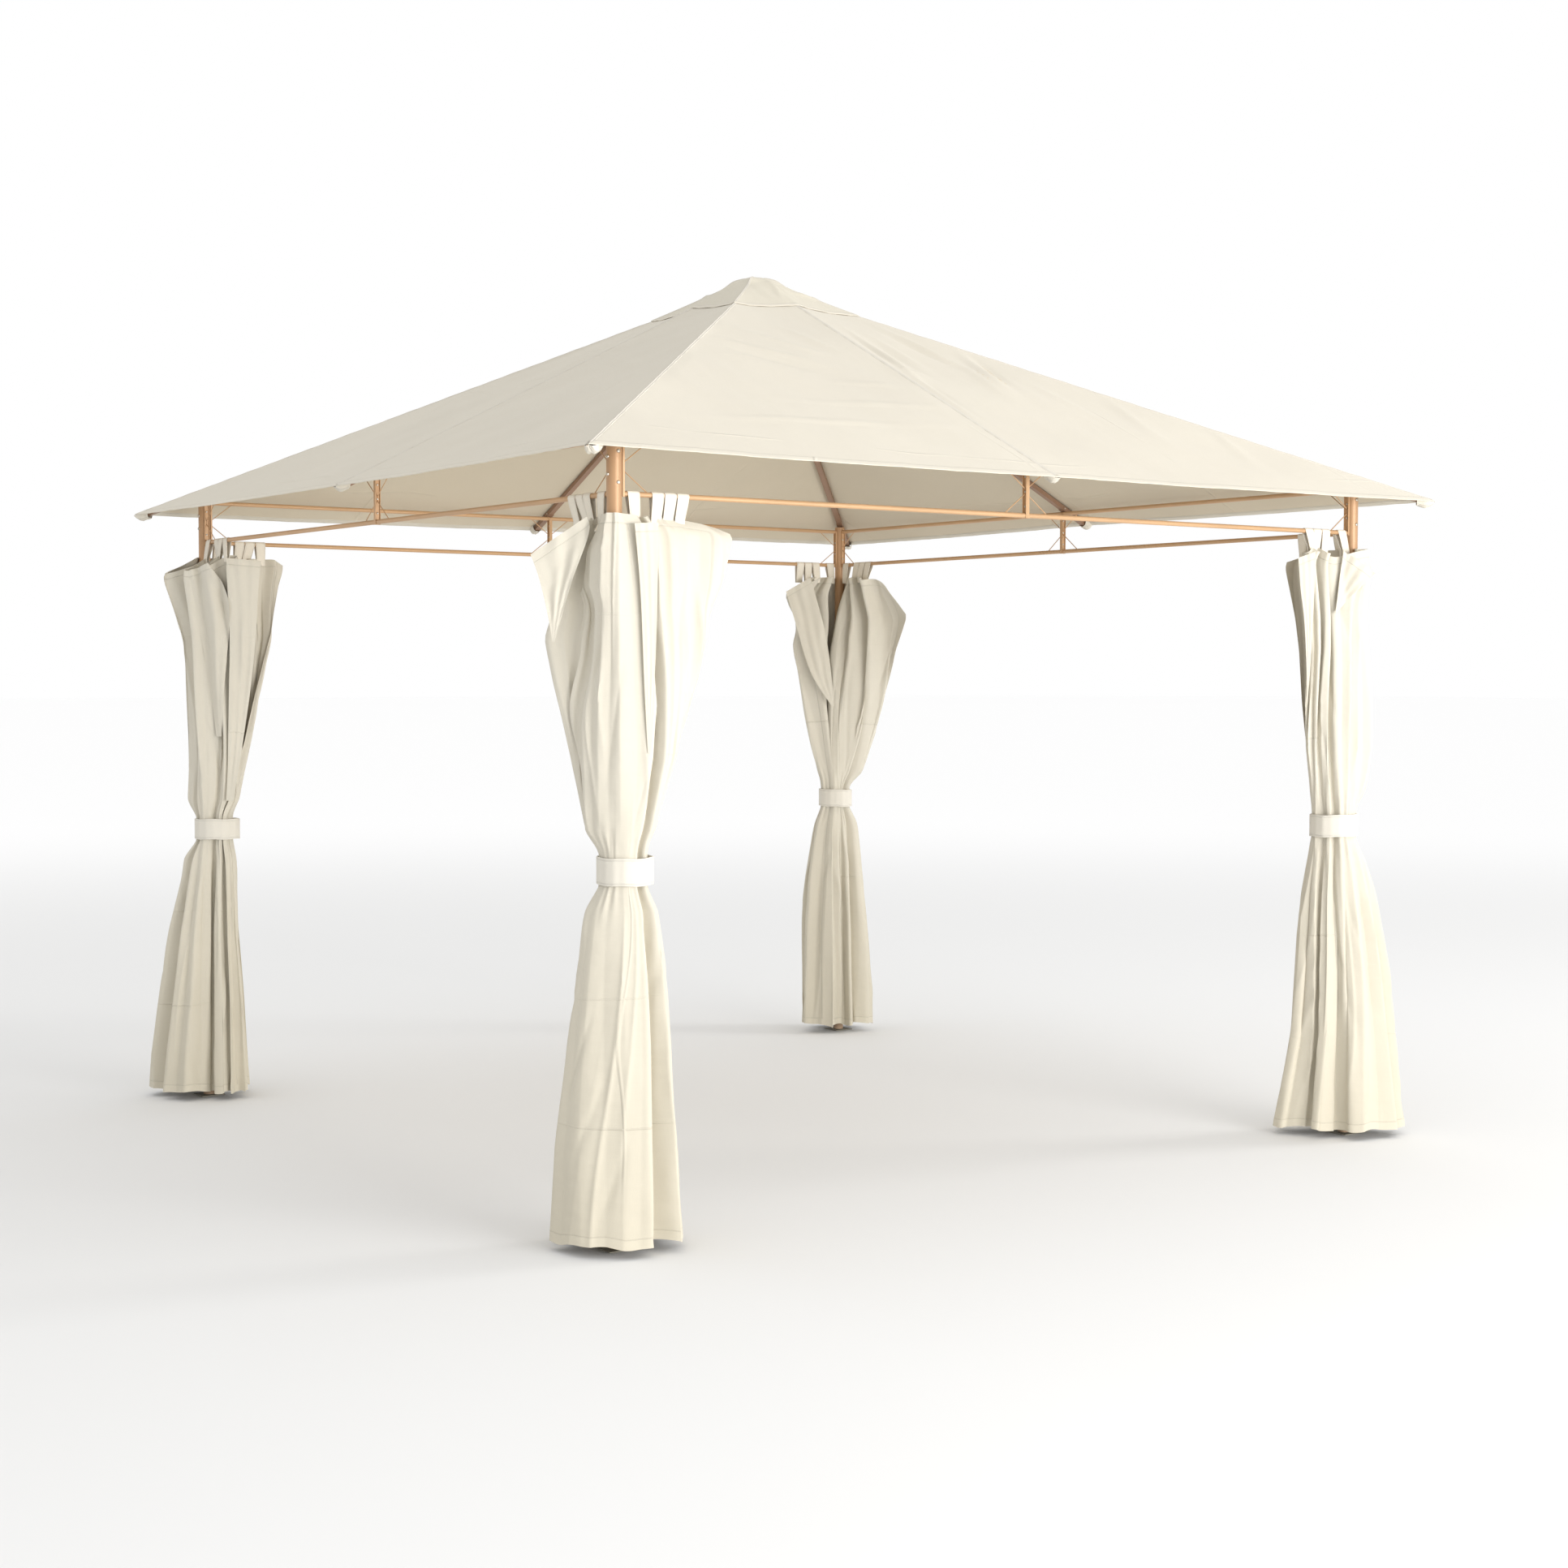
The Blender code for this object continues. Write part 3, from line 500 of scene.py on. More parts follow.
# Wrinkles of the canopy: place, direction, length, width and height.
STREAKS = [
    ((0.058, -0.66), (-0.04, -1.0), 0.17, 0.011, 0.0105),
    ((0.034, -0.62), (-0.04, -1.0), 0.12, 0.008, -0.0055),
    ((0.028, -0.90), (-0.03, -1.0), 0.20, 0.010, 0.0095),
    ((0.052, -0.88), (-0.03, -1.0), 0.15, 0.010, -0.0050),
    ((0.110, -0.60), (0.06, -1.0), 0.12, 0.013, -0.0055),
    ((0.150, -0.56), (0.12, -1.0), 0.10, 0.012, 0.0050),
    ((0.300, -0.50), (0.30, -1.0), 0.13, 0.015, 0.0110),
    ((0.262, -0.50), (0.30, -1.0), 0.11, 0.013, -0.0070),
    ((0.400, -0.68), (-0.2, -1.0), 0.14, 0.017, 0.0105),
    ((0.442, -0.66), (-0.2, -1.0), 0.12, 0.015, -0.0070),
    ((0.340, -0.74), (-0.1, -1.0), 0.12, 0.015, 0.0070),
    ((0.560, -0.86), (0.2, -1.0), 0.12, 0.018, 0.0055),
    ((0.74, -0.98), (-0.2, -1.0), 0.16, 0.020, 0.0060),
    ((0.98, -1.16), (-0.3, -1.0), 0.13, 0.018, 0.0060),
    ((-0.40, -0.66), (1.0, -0.55), 0.14, 0.018, 0.0060),
    ((-0.44, -0.72), (1.0, -0.55), 0.12, 0.018, -0.0050),
    ((-0.28, -0.58), (1.0, -0.80), 0.12, 0.018, 0.0055),
    ((-0.16, -0.52), (0.5, -1.0), 0.10, 0.016, 0.0050),
    ((-0.62, -1.19), (1.0, 0.10), 0.30, 0.012, 0.0044),
    ((-0.30, -1.02), (1.0, 0.05), 0.26, 0.012, 0.0034),
    ((-0.20, -0.86), (1.0, -0.02), 0.12, 0.010, 0.0034),
    ((-0.72, -0.40), (0.4, 1.0), 0.22, 0.018, 0.0050),
    ((-0.56, 0.10), (1.0, 0.3), 0.20, 0.018, 0.0050),
    ((-0.90, 0.35), (0.5, 1.0), 0.32, 0.024, 0.0050),
    ((0.60, 0.06), (1.0, -0.02), 0.26, 0.014, 0.0080),
    ((0.66, 0.22), (1.0, 0.35), 0.20, 0.016, 0.0060),
    ((0.80, -0.30), (0.5, 1.0), 0.30, 0.024, 0.0050),
    ((0.05, 0.66), (0.02, 1.0), 0.24, 0.013, 0.0080),
    ((0.30, 0.80), (1.0, 0.35), 0.30, 0.020, 0.0055),
    ((-0.45, 0.85), (1.0, -0.5), 0.30, 0.020, -0.0045),
]


def wrinkles(x, y, streaks):
    """Sum of long soft ridges: height * exp(-(along / length)^2 - (across / width)^2)."""
    total = np.zeros(np.broadcast(x, y).shape)
    for at, towards, length, width, height in streaks:
        way = np.array(towards) / math.hypot(*towards)
        dx, dy = x - at[0], y - at[1]
        along, across = dx * way[0] + dy * way[1], dy * way[0] - dx * way[1]
        total += height * np.exp(-((along / length) ** 2) - (across / width) ** 2)
    return total


def canopy_surface(scale, turn):
    """Top of the canopy at a share of the way out and a turn from 0 to 4 quarter circles.

    Each quarter runs from hip to hip; between the straight hip and mid ridges the cloth is ruled,
    then it sags, ripples and puckers a few millimetres.
    """
    scale, turn = np.broadcast_arrays(np.asarray(scale, float), np.asarray(turn, float))
    quarter = np.floor(turn)
    s = 2 * (turn - quarter) - 1
    side = np.abs(s)
    along = s * CORNER_AT * scale
    out = (MID_AT + (CORNER_AT - MID_AT) * side) * scale
    mid = MID_TOP_Z - MID_SLOPE * MID_AT * scale
    hip = HIP_TOP_Z - HIP_SLOPE * CORNER_AT * math.sqrt(2) * scale
    bow = 4 * side * (1 - side) * np.sin(np.pi * np.minimum(1, 0.94 * scale)) ** 0.7
    z = mid + (hip - mid) * side - 0.0095 * bow
    angle = quarter * np.pi / 2
    x = along * np.cos(angle) + out * np.sin(angle)
    y = along * np.sin(angle) - out * np.cos(angle)
    free = np.clip(bow * 5.0, 0, 1) * (1 - 0.75 * scale**14)
    ripple = 0.0016 * np.sin(9.1 * x + 4.3 * y + 0.7) + 0.0013 * np.sin(13.7 * y - 6.1 * x + 2.1)
    ripple = ripple + 0.0012 * np.sin(21.0 * x + 17.0 * y) + wrinkles(x, y, STREAKS)
    return stacked(x, y, z + ripple * free)


def crowded(count):
    """Places from 0 to 1, closer together at the two ends: u - 0.055 sin(2 pi u)."""
    u = np.arange(count) / count
    return u - 0.055 * np.sin(2 * np.pi * u)


def all_round(count):
    """Turns from 0 to 4, crowded at every hip and mid ridge."""
    return np.concatenate([(crowded(count) + half) / 2 + q for q in range(4) for half in range(2)])


def sheet_faces(rows, columns, closed):
    """Faces of a grid's upper and under layer and of the rims between, and which are under."""
    count = rows * columns
    upper = grid_quads(rows, columns, closed)[:, ::-1]
    j = np.arange(columns if closed else columns - 1)
    k = (j + 1) % columns
    last = (rows - 1) * columns
    rims = [(j, k, k + count, j + count), (last + k, last + j, last + j + count, last + k + count)]
    if not closed:
        i = np.arange(rows - 1) * columns
        e = i + columns - 1
        rims.append((i + columns, i, i + count, i + columns + count))
        rims.append((e, e + columns, e + columns + count, e + count))
    quads = [upper, upper[:, ::-1] + count] + [stacked(*rim) for rim in rims]
    return np.concatenate(quads), np.repeat(np.arange(len(quads)) == 1, [len(part) for part in quads])


def unit(vectors):
    """The vectors at a length of one, none divided by zero."""
    return vectors / np.maximum(np.linalg.norm(vectors, axis=-1, keepdims=True), 1e-12)


def shell_piece(name, top, thickness, finishes, cloth, seams, closed=False):
    """A sheet with its thickness: a grid of points, a copy pushed back along its normal, and rims.

    The normal is the cross product of the grid's directions, down the rows and along a row.
    """
    down = np.gradient(top, axis=0)
    if closed:
        beside = (np.roll(top, -1, axis=1) - np.roll(top, 1, axis=1)) / 2
    else:
        beside = np.gradient(top, axis=1)
    layers = np.stack([top, top - unit(np.cross(down, beside)) * thickness])
    faces, under = sheet_faces(*top.shape[:2], closed)
    piece = add_piece(name, layers, faces, finishes, [cloth] * 2, [seams] * 2, crease=60)
    piece.data.polygons.foreach_set("material_index", (under * (len(finishes) - 1)).astype(np.int32))
    return piece


around = all_round(58)
scales = OPENING + (1 - OPENING) * np.linspace(0, 1, 104)[:, None] ** 0.96
canopy_points = canopy_surface(scales, around[None, :])
ridge_side = np.abs(2 * (around % 1) - 1)
to_ridge = np.minimum(ridge_side, 1 - ridge_side) * CORNER_AT * scales
to_eave = (1 - scales) * EAVE_DISTANCE
canopy = shell_piece(
    "canopy_sheet", canopy_points, CLOTH_THICK, [canopy_top, canopy_under_shaded],
    canopy_points[..., :2] * 1.09, stacked(to_ridge, to_eave) + 0.05, closed=True,
)
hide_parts("canopy")

# Canopy hem: the cloth is turned under twice along the eaves and stitched, about 24 mm deep.
hem_profile = np.array([
    (0.0250, 0.0001), (0.0240, 0.0010), (0.0120, 0.0012), (0.0020, 0.0011), (-0.0007, 0.0003),
    (-0.0008, -0.0012), (0.0018, -0.0024), (0.0120, -0.0026), (0.0240, -0.0025), (0.0250, -0.0014),
])


def rolled_hem(name, surface, turns, profile, distance, girth, stitch, wave=0.0):
    """A closed profile of (distance in from the edge, height) carried round a sewn roof's edge."""
    edge = surface(1.0 - profile[:, :1] / distance, turns[None, :])
    edge[..., 2] += profile[:, 1:] + wave
    run = stacked(turns * girth, profile[:, :1])
    faces = grid_quads(len(profile), turns.size, close_columns=True, close_rows=True)[:, ::-1]
    return add_piece(name, edge, faces, [canopy_top], run, run * (0, 1) + (1, stitch))


hem_wave = 0.0003 * np.sin(2 * np.pi * around * 23) + 0.0002 * np.sin(2 * np.pi * around * 41 + 1.0)
canopy_hem = rolled_hem(
    "canopy_hem", canopy_surface, around, hem_profile, EAVE_DISTANCE, 3.0, 0.004, np.minimum(hem_wave, 0.0004)
)

# Ridge seams: felled seams over the rafters, four along the hips and four up the middles.
TAPE_HALF = 0.0085
tape_across = np.array([-1.0, -0.85, -0.4, 0.0, 0.4, 0.85, 1.0]) * TAPE_HALF
tape_lift = np.array([0.0003, 0.0011, 0.0014, 0.0019, 0.0014, 0.0011, 0.0003])
seam_tape = woven("seam_tape", (0.632, 0.592, 0.512), 0.006, NO_CREASE)


def seam_tapes(name, surface, shares, starts, half_span, narrow, lift, pucker, length):
    """Flat tapes that run out over a sewn roof from each starting turn; pucker ripples their top."""
    shares = shares[:, None]
    points = []
    for k, start in enumerate(starts):
        tape = surface(shares, np.mod(start + 0.5 * narrow * tape_across / (half_span * shares), 4))
        upper, lower = tape.copy(), tape
        ripple = 0.0004 * np.sin(shares * 190 + k) + 0.0003 * np.sin(shares * 71)
        upper[..., 2] += lift * tape_lift + pucker * ripple
        lower[..., 2] -= 0.0002
        points.append(np.concatenate([upper, lower[:, ::-1]], axis=1))
    across = np.concatenate([tape_across, tape_across[::-1]])
    seams = stacked(TAPE_HALF - np.abs(across) + 0.0025, np.ones(shares.shape))
    return add_piece(
        name, points, grid_quads(*points[0].shape[:2], close_columns=True)[:, ::-1], [seam_tape],
        [stacked(shares * length, across)] * len(starts), [seams] * len(starts),
    )


ridge_seams = seam_tapes(
    "canopy_ridge_seams", canopy_surface, np.linspace(0.088, 0.997, 110), np.arange(8) / 2 + 0.5, CORNER_AT,
    narrow=1.0, lift=1.0, pucker=1.0, length=2.0,
)

# Rafter pockets: a cloth cup sewn under the sheet at every corner and mid point takes the end of
# the rafter and stretches the eaves; it is open toward the peak and closes round the tip.
POCKET_GRID = (16, 21)
# By whether it is a hip: reach of the tip, length, half width and depth.
POCKETS = {True: (2.1210, 0.054, 0.0190, 0.027), False: (1.4575, 0.041, 0.0185, 0.024)}
reach_share = np.linspace(0, 1, POCKET_GRID[0])[:, None]
span = np.linspace(-1, 1, POCKET_GRID[1])[None, :]
closing = np.clip((reach_share - 0.40) / 0.60, 0, 1)
cup_faces = sheet_faces(*POCKET_GRID, False)[0][:, ::-1]
points, cloth, seams = [], [], []
for k in range(8):
    hip, out, across = spoke(k)
    tip, length, wide, deep = POCKETS[hip]
    r = tip - length * (1 - reach_share)
    half = wide * (1 - 0.55 * closing**1.5) * (1.10 - 0.10 * np.clip(reach_share / 0.2, 0, 1))
    x, y = (out[axis] * r + across[axis] * half * span for axis in (0, 1))
    farther, nearer = np.maximum(np.abs(x), np.abs(y)), np.minimum(np.abs(x), np.abs(y))
    scale = (farther - (CORNER_AT - MID_AT) * nearer / CORNER_AT) / MID_AT
    above = canopy_surface(scale, np.mod(0.5 + 0.5 * nearer / (CORNER_AT * scale), 1))
    hang = deep * (1 - 0.97 * closing**1.7) * (1 - np.abs(span) ** 3) ** 0.6
    hang = hang + 0.0010 * np.sin(span * 9 + reach_share * 11 + k) * (1 - span**2)
    cup = stacked(x, y, above[..., 2] - 0.0030 - hang)
    points += [cup, cup + (0, 0, 0.0012)]
    cloth += [stacked(r, half * span)] * 2
    seams += [stacked(length * reach_share, half * (1 - np.abs(span))) + 0.001] * 2
pocket_cloth = woven("pocket_cloth", (0.660, 0.618, 0.530), 0.006, NO_CREASE)
rafter_pockets = add_piece(
    "rafter_pockets", points, cup_faces, [pocket_cloth], cloth, seams
)

# Vent cap. A smaller sewn roof over the opening at the peak: it rests on the hub and its skirt
# stands a little off the canopy, hemmed, taped along its four hips and slightly ruffled.
VENT_HALF = 0.240
VENT_SLANT = VENT_HALF * 1.1
PEAK_Z = 2.691
TUCKS = [
    ((0.100, -0.130), (1.0, -0.2), 0.07, 0.009, 0.0050),
    ((0.070, -0.100), (1.0, -0.9), 0.06, 0.007, 0.0050),
    ((0.020, -0.120), (0.2, -1.0), 0.06, 0.008, 0.0060),
    ((-0.020, -0.170), (-0.3, -1.0), 0.06, 0.008, 0.0045),
    ((-0.120, 0.100), (0.6, 1.0), 0.08, 0.010, 0.0045),
    ((0.120, 0.080), (1.0, 0.6), 0.08, 0.010, 0.0045),
    ((-0.160, -0.060), (1.0, 0.3), 0.06, 0.008, 0.0045),
    ((0.170, -0.020), (1.0, 0.1), 0.06, 0.009, 0.0050),
]
vent_cloth = woven("vent_cloth", (0.602, 0.560, 0.461), 0.014, NO_CREASE)


def vent_surface(share, turn):
    """Top of the vent cap: a flattened peak over the hub, then the canopy's slope plus a lift."""
    share, turn = np.broadcast_arrays(np.asarray(share, float), np.asarray(turn, float))
    side = np.abs(2 * (turn - np.floor(turn)) - 1)
    reach = MID_AT + (CORNER_AT - MID_AT) * side
    x, y, below = np.moveaxis(canopy_surface(VENT_HALF * share / reach, turn), -1, 0)
    lift = np.interp(share, (0.34, 0.62, 1.0), (0.017, 0.010, 0.0010))
    peak = PEAK_Z - 0.0006 - 0.33 * np.maximum(share - 0.06, 0) ** 1.85
    join = np.clip((share - 0.19) / 0.17, 0, 1)
    z = peak + (below + lift - peak) * join * join * (3 - 2 * join)
    skirt = np.clip((share - 0.62) / 0.38, 0, 1) ** 1.5
    angle = turn * 2 * np.pi
    ruffle = 0.5 * np.sin(angle * 6 + 0.6) + 0.35 * np.sin(angle * 11 + 2.0) + 0.3 * np.sin(angle * 17)
    z = z + skirt * (0.0019 + 0.0013 * ruffle * (0.4 + 0.6 * 4 * side * (1 - side)))
    return stacked(x, y, z + wrinkles(x, y, TUCKS))


shares = np.concatenate([[0.004], np.linspace(0.03, 1, 46)])[:, None]
vent_turns = all_round(14)
vent_points = vent_surface(shares, vent_turns[None, :])
# The cap's under side takes the canopy's painted shade.
vent_cap = shell_piece(
    "vent_cap_sheet", vent_points, CLOTH_THICK, [vent_cloth, canopy_under_shaded],
    vent_points[..., :2] * 1.08, stacked(np.ones(vent_turns.size), (1 - shares) * VENT_SLANT), closed=True,
)
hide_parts("vent_cap")
vent_hem = rolled_hem(
    "vent_cap_hem", vent_surface, vent_turns, hem_profile * (0.62, 0.9), VENT_SLANT, 0.48, 0.014
)
vent_seams = seam_tapes(
    "vent_cap_seams", vent_surface, np.linspace(0.10, 0.985, 40), np.arange(4), VENT_HALF,
    narrow=0.75, lift=0.8, pucker=0.0, length=0.34,
)

# Curtains. Each is one hemmed length of plain-weave polyester on eight tabs, drawn together round
# its post: it hangs in deep folds from the two rails, is gathered at the tie and flares below it.
CURTAIN_TOP = 1.811
BAND_HEIGHT = 0.068
CURTAIN_THICK = 0.0010
POST_GAP = 0.0022
OUTERMOST = -0.170
OUTWARD = np.array((-1.0, -1.0)) / math.sqrt(2)
SIDEWAYS = np.array((1.0, -1.0)) / math.sqrt(2)
# Seen from before the front left corner: the way to the right, which reaches follow, and toward
# the viewer.
ACROSS = np.array((0.817, -0.576)) / math.hypot(0.817, -0.576)
TOWARD = np.array((ACROSS[1], -ACROSS[0]))
# The curtains' feet are darkened with painted shade, strongest at the floor.
curtain_cloth = woven(
    "curtain_cloth_weave", (0.645, 0.606, 0.514), 0.024, 0.31, wrinkle=20.0, foot_shade=(0.885, 0.868, 0.822)
)

# Flutes: depth of the narrow pleats above and below the tie. Flaps: two outlines of (reach, height),
# how far the flap stands out, and the reach over which the cloth below carries it. Centre: inward
# place of the tie. Closing: how fast the outermost folds run in to the tie. Phase: start of the
# small waves. Folds, one point each: inward along the x rail and the y rail, droop of the hem, and
# turn in the tie in degrees from the outside of the post. Swells move a fold point: its index,
# height, length, inward x and y. Tucks draw one in: its index, radius in the tie, speed. Edges:
# height, reach left, reach right.
CURTAINS = {
    "front_left": {
        "rails": ["side_frame_front_a", "side_frame_left_b"],
        "flutes": (0.004, 0.003),
        "flaps": [
            (((-0.205, 1.712), (-0.186, 1.660), (-0.166, 1.580), (-0.152, 1.499)),
             ((-0.066, 1.804), (-0.058, 1.766), (-0.106, 1.640), (-0.147, 1.497)), 0.0125, 0.009),
            (((0.108, 1.790), (0.106, 1.600), (0.100, 1.420), (0.088, 1.226)),
             ((0.052, 1.786), (0.066, 1.620), (0.074, 1.400), (0.082, 1.228)), 0.0060, 0.022),
        ], "band_z": 0.936, "band_radius": 0.067, "centre": (0.040, 0.018),
        "hem": 0.026, "closing": 1.6, "phase": 0.4,
        "folds": [
            (0.352, -0.004, 0.036, 186), (0.280, -0.018, 0.012, 150), (0.205, -0.004, 0.000, 126),
            (0.160, -0.014, 0.000, 104), (0.122, -0.008, 0.000, 86), (0.088, -0.038, 0.006, 68),
            (0.078, 0.030, 0.006, 52), (0.064, -0.036, 0.006, 40), (0.030, -0.048, 0.002, 22),
            (-0.012, -0.046, 0.000, 4), (-0.034, -0.034, 0.000, -14), (-0.042, 0.000, 0.000, -32),
            (-0.038, 0.038, 0.000, -50), (-0.030, 0.060, 0.002, -68), (-0.004, 0.064, 0.012, -84),
            (-0.018, 0.080, 0.044, -94), (-0.060, 0.084, 0.004, -100), (-0.062, 0.114, 0.020, -112),
            (-0.002, 0.128, 0.000, -126), (-0.030, 0.162, 0.004, -140), (-0.002, 0.196, 0.000, -152),
            (-0.036, 0.250, 0.014, -164), (-0.018, 0.310, 0.036, -176), (-0.004, 0.364, 0.084, -188),
        ],
        "swells": [
            (13, 1.50, 0.20, 0.006, 0.020), (14, 1.46, 0.24, -0.040, 0.022), (15, 1.52, 0.14, -0.030, 0.040),
            (16, 1.52, 0.13, -0.050, 0.076), (17, 1.52, 0.13, -0.036, 0.084),
        ],
        "edges": (
            (1.811, -0.118, 0.200), (1.800, -0.128, 0.240), (1.775, -0.160, 0.287), (1.727, -0.214, 0.280),
            (1.65, -0.179, 0.262), (1.590, -0.153, 0.238), (1.51, -0.178, 0.219), (1.40, -0.154, 0.195),
            (1.22, -0.108, 0.147), (1.10, -0.087, 0.113), (1.00, -0.072, 0.088), (0.860, -0.071, 0.100),
            (0.80, -0.083, 0.109), (0.68, -0.095, 0.125), (0.50, -0.118, 0.141), (0.26, -0.146, 0.150),
            (0.08, -0.157, 0.165), (0.026, -0.160, 0.170),
        ),
    },
    "front_right": {
        "rails": ["side_frame_front_b", "side_frame_right_a"],
        "flutes": (0.007, 0.012),
        "flaps": [
            (((-0.046, 1.803), (-0.058, 1.710), (-0.070, 1.612)),
             ((0.056, 1.735), (-0.004, 1.680), (-0.068, 1.610)), 0.0200, 0.014),
            (((-0.146, 1.796), (-0.146, 1.680), (-0.144, 1.560), (-0.143, 1.440), (-0.145, 1.330)),
             ((-0.203, 1.776), (-0.192, 1.690), (-0.174, 1.600), (-0.157, 1.470), (-0.146, 1.330)),
             0.0070, 0.026),
        ], "band_z": 0.960, "band_radius": 0.069, "centre": (0.031, 0.031),
        "hem": 0.026, "closing": 1.0, "phase": 2.1,
        "folds": [
            (0.250, -0.032, 0.048, 190), (0.230, -0.036, 0.020, 176), (0.206, -0.028, 0.000, 160),
            (0.184, -0.038, 0.016, 146), (0.172, 0.000, 0.000, 132), (0.156, -0.006, 0.000, 118),
            (0.140, -0.046, 0.020, 104), (0.128, 0.010, 0.004, 92), (0.108, -0.034, 0.030, 78),
            (0.062, -0.044, 0.010, 62), (0.030, -0.046, 0.000, 48), (0.004, -0.040, 0.000, 34),
            (-0.030, -0.040, 0.000, 18), (-0.046, -0.020, 0.000, 4), (-0.044, 0.014, 0.000, -12),
            (-0.030, 0.040, 0.000, -28), (0.004, 0.051, 0.000, -44),
            (0.030, 0.080, 0.000, -58), (-0.030, 0.098, 0.000, -74), (0.002, 0.122, 0.000, -90),
            (0.034, 0.140, 0.000, -106), (-0.020, 0.159, 0.000, -122), (0.030, 0.178, 0.000, -138),
            (0.000, 0.196, 0.000, -152), (-0.030, 0.222, 0.010, -168), (0.000, 0.252, 0.030, -184),
        ],
        "swells": [
            (9, 1.81, 0.11, -0.012, -0.020), (10, 1.81, 0.11, -0.074, -0.020), (11, 1.81, 0.11, 0.016, 0.004),
        ],
        "edges": (
            (1.811, -0.180, 0.044), (1.77, -0.207, 0.046), (1.735, -0.200, 0.058), (1.69, -0.189, 0.046),
            (1.60, -0.168, 0.042), (1.50, -0.154, 0.050), (1.34, -0.147, 0.064), (1.20, -0.135, 0.068),
            (1.10, -0.120, 0.060), (1.02, -0.112, 0.040), (0.89, -0.112, 0.044), (0.75, -0.130, 0.084),
            (0.50, -0.148, 0.122), (0.32, -0.163, 0.140), (0.14, -0.196, 0.160), (0.026, -0.218, 0.176),
        ),
    },
    "back_left": {
        "rails": ["side_frame_back_b", "side_frame_left_a"],
        "flutes": (0.006, 0.007),
        "flaps": [
            (((-0.033, 1.757), (0.000, 1.610), (0.026, 1.459), (0.056, 1.214)),
             ((0.057, 1.785), (0.126, 1.671), (0.106, 1.508), (0.074, 1.214)), 0.0125, 0.009),
            (((0.228, 1.792), (0.214, 1.690), (0.194, 1.508), (0.144, 1.202), (0.110, 1.000)),
             ((0.122, 1.800), (0.118, 1.600), (0.108, 1.400), (0.095, 1.150), (0.085, 1.000)), 0.0080, 0.024),
        ], "band_z": 0.902, "band_radius": 0.070, "centre": (0.026, 0.026),
        "hem": 0.026, "closing": 1.5, "phase": 3.7,
        "folds": [
            (0.285, 0.030, 0.020, 230), (0.258, 0.034, 0.000, 212), (0.226, 0.000, 0.000, 194),
            (0.200, 0.014, 0.000, 176), (0.180, 0.040, 0.000, 158), (0.159, 0.014, 0.000, 142),
            (0.140, -0.020, 0.000, 126), (0.122, 0.010, 0.000, 110), (0.095, 0.038, 0.000, 94),
            (0.070, -0.034, 0.000, 78), (0.048, -0.008, 0.000, 62), (0.010, -0.042, 0.000, 44),
            (-0.032, -0.032, 0.000, 24), (-0.050, -0.004, 0.002, 4), (-0.150, 0.012, 0.062, -16),
            (-0.062, 0.040, 0.030, -30), (-0.004, 0.051, 0.000, -44), (-0.060, 0.070, 0.030, -56),
            (-0.104, 0.088, 0.048, -68), (-0.070, 0.122, 0.048, -80), (-0.004, 0.124, 0.004, -92),
            (0.024, 0.140, 0.000, -102), (-0.010, 0.159, 0.000, -112), (-0.052, 0.182, 0.036, -122),
            (0.004, 0.198, 0.004, -132), (0.034, 0.225, 0.000, -142), (0.000, 0.262, 0.030, -152),
        ],
        "edges": (
            (1.811, -0.050, 0.226), (1.79, -0.070, 0.231), (1.755, -0.116, 0.227), (1.73, -0.118, 0.220),
            (1.63, -0.086, 0.211), (1.55, -0.062, 0.209), (1.46, -0.056, 0.190), (1.22, -0.056, 0.153),
            (1.10, -0.058, 0.130), (0.96, -0.062, 0.106), (0.86, -0.066, 0.095), (0.74, -0.081, 0.100),
            (0.56, -0.118, 0.106), (0.32, -0.157, 0.124), (0.08, -0.189, 0.136), (0.026, -0.198, 0.140),
        ),
    },
    "back_right": {
        "rails": ["side_frame_back_a", "side_frame_right_b"],
        "flutes": (0.006, 0.006),
        "flaps": [
            (((-0.214, 1.752), (-0.176, 1.627), (-0.118, 1.433), (-0.032, 1.300)),
             ((-0.118, 1.808), (-0.060, 1.600), (-0.036, 1.440), (-0.024, 1.302)), 0.0125, 0.012),
        ], "band_z": 0.936, "band_radius": 0.062, "centre": (0.030, 0.016),
        "hem": 0.032, "closing": 2.0, "phase": 5.2,
        "folds": [
            (0.176, 0.040, 0.002, 182), (0.222, 0.022, 0.030, 156), (0.252, -0.026, 0.068, 134),
            (0.214, -0.030, 0.010, 120), (0.192, 0.004, 0.000, 108), (0.159, -0.030, 0.000, 96),
            (0.122, -0.002, 0.000, 86), (0.084, 0.050, 0.000, 160), (0.070, 0.000, 0.000, 72),
            (0.046, -0.028, 0.000, 56), (0.016, -0.042, 0.000, 38), (-0.026, -0.032, 0.000, 20),
            (-0.042, 0.002, 0.000, 0), (-0.034, 0.034, 0.000, -24), (-0.002, 0.051, 0.000, -56),
            (0.024, 0.112, 0.004, -200), (-0.010, 0.110, 0.000, -184), (0.006, 0.122, 0.000, -164),
            (0.042, 0.142, 0.006, -152), (-0.008, 0.159, 0.000, -140), (0.004, 0.192, 0.000, -128),
            (0.044, 0.226, 0.016, -116), (-0.020, 0.262, 0.010, -104), (-0.034, 0.305, 0.030, -90),
            (-0.050, 0.362, 0.150, -76),
        ],
        "tucks": [
            (7, 0.036, 3.0), (15, 0.030, 8.0), (16, 0.056, 4.0), (17, 0.050, 2.6), (18, 0.050, 1.8),
        ],
        "edges": (
            (1.811, -0.132, 0.176), (1.79, -0.160, 0.204), (1.745, -0.221, 0.214), (1.70, -0.206, 0.237),
            (1.65, -0.184, 0.256), (1.60, -0.178, 0.244), (1.55, -0.186, 0.230), (1.46, -0.170, 0.204),
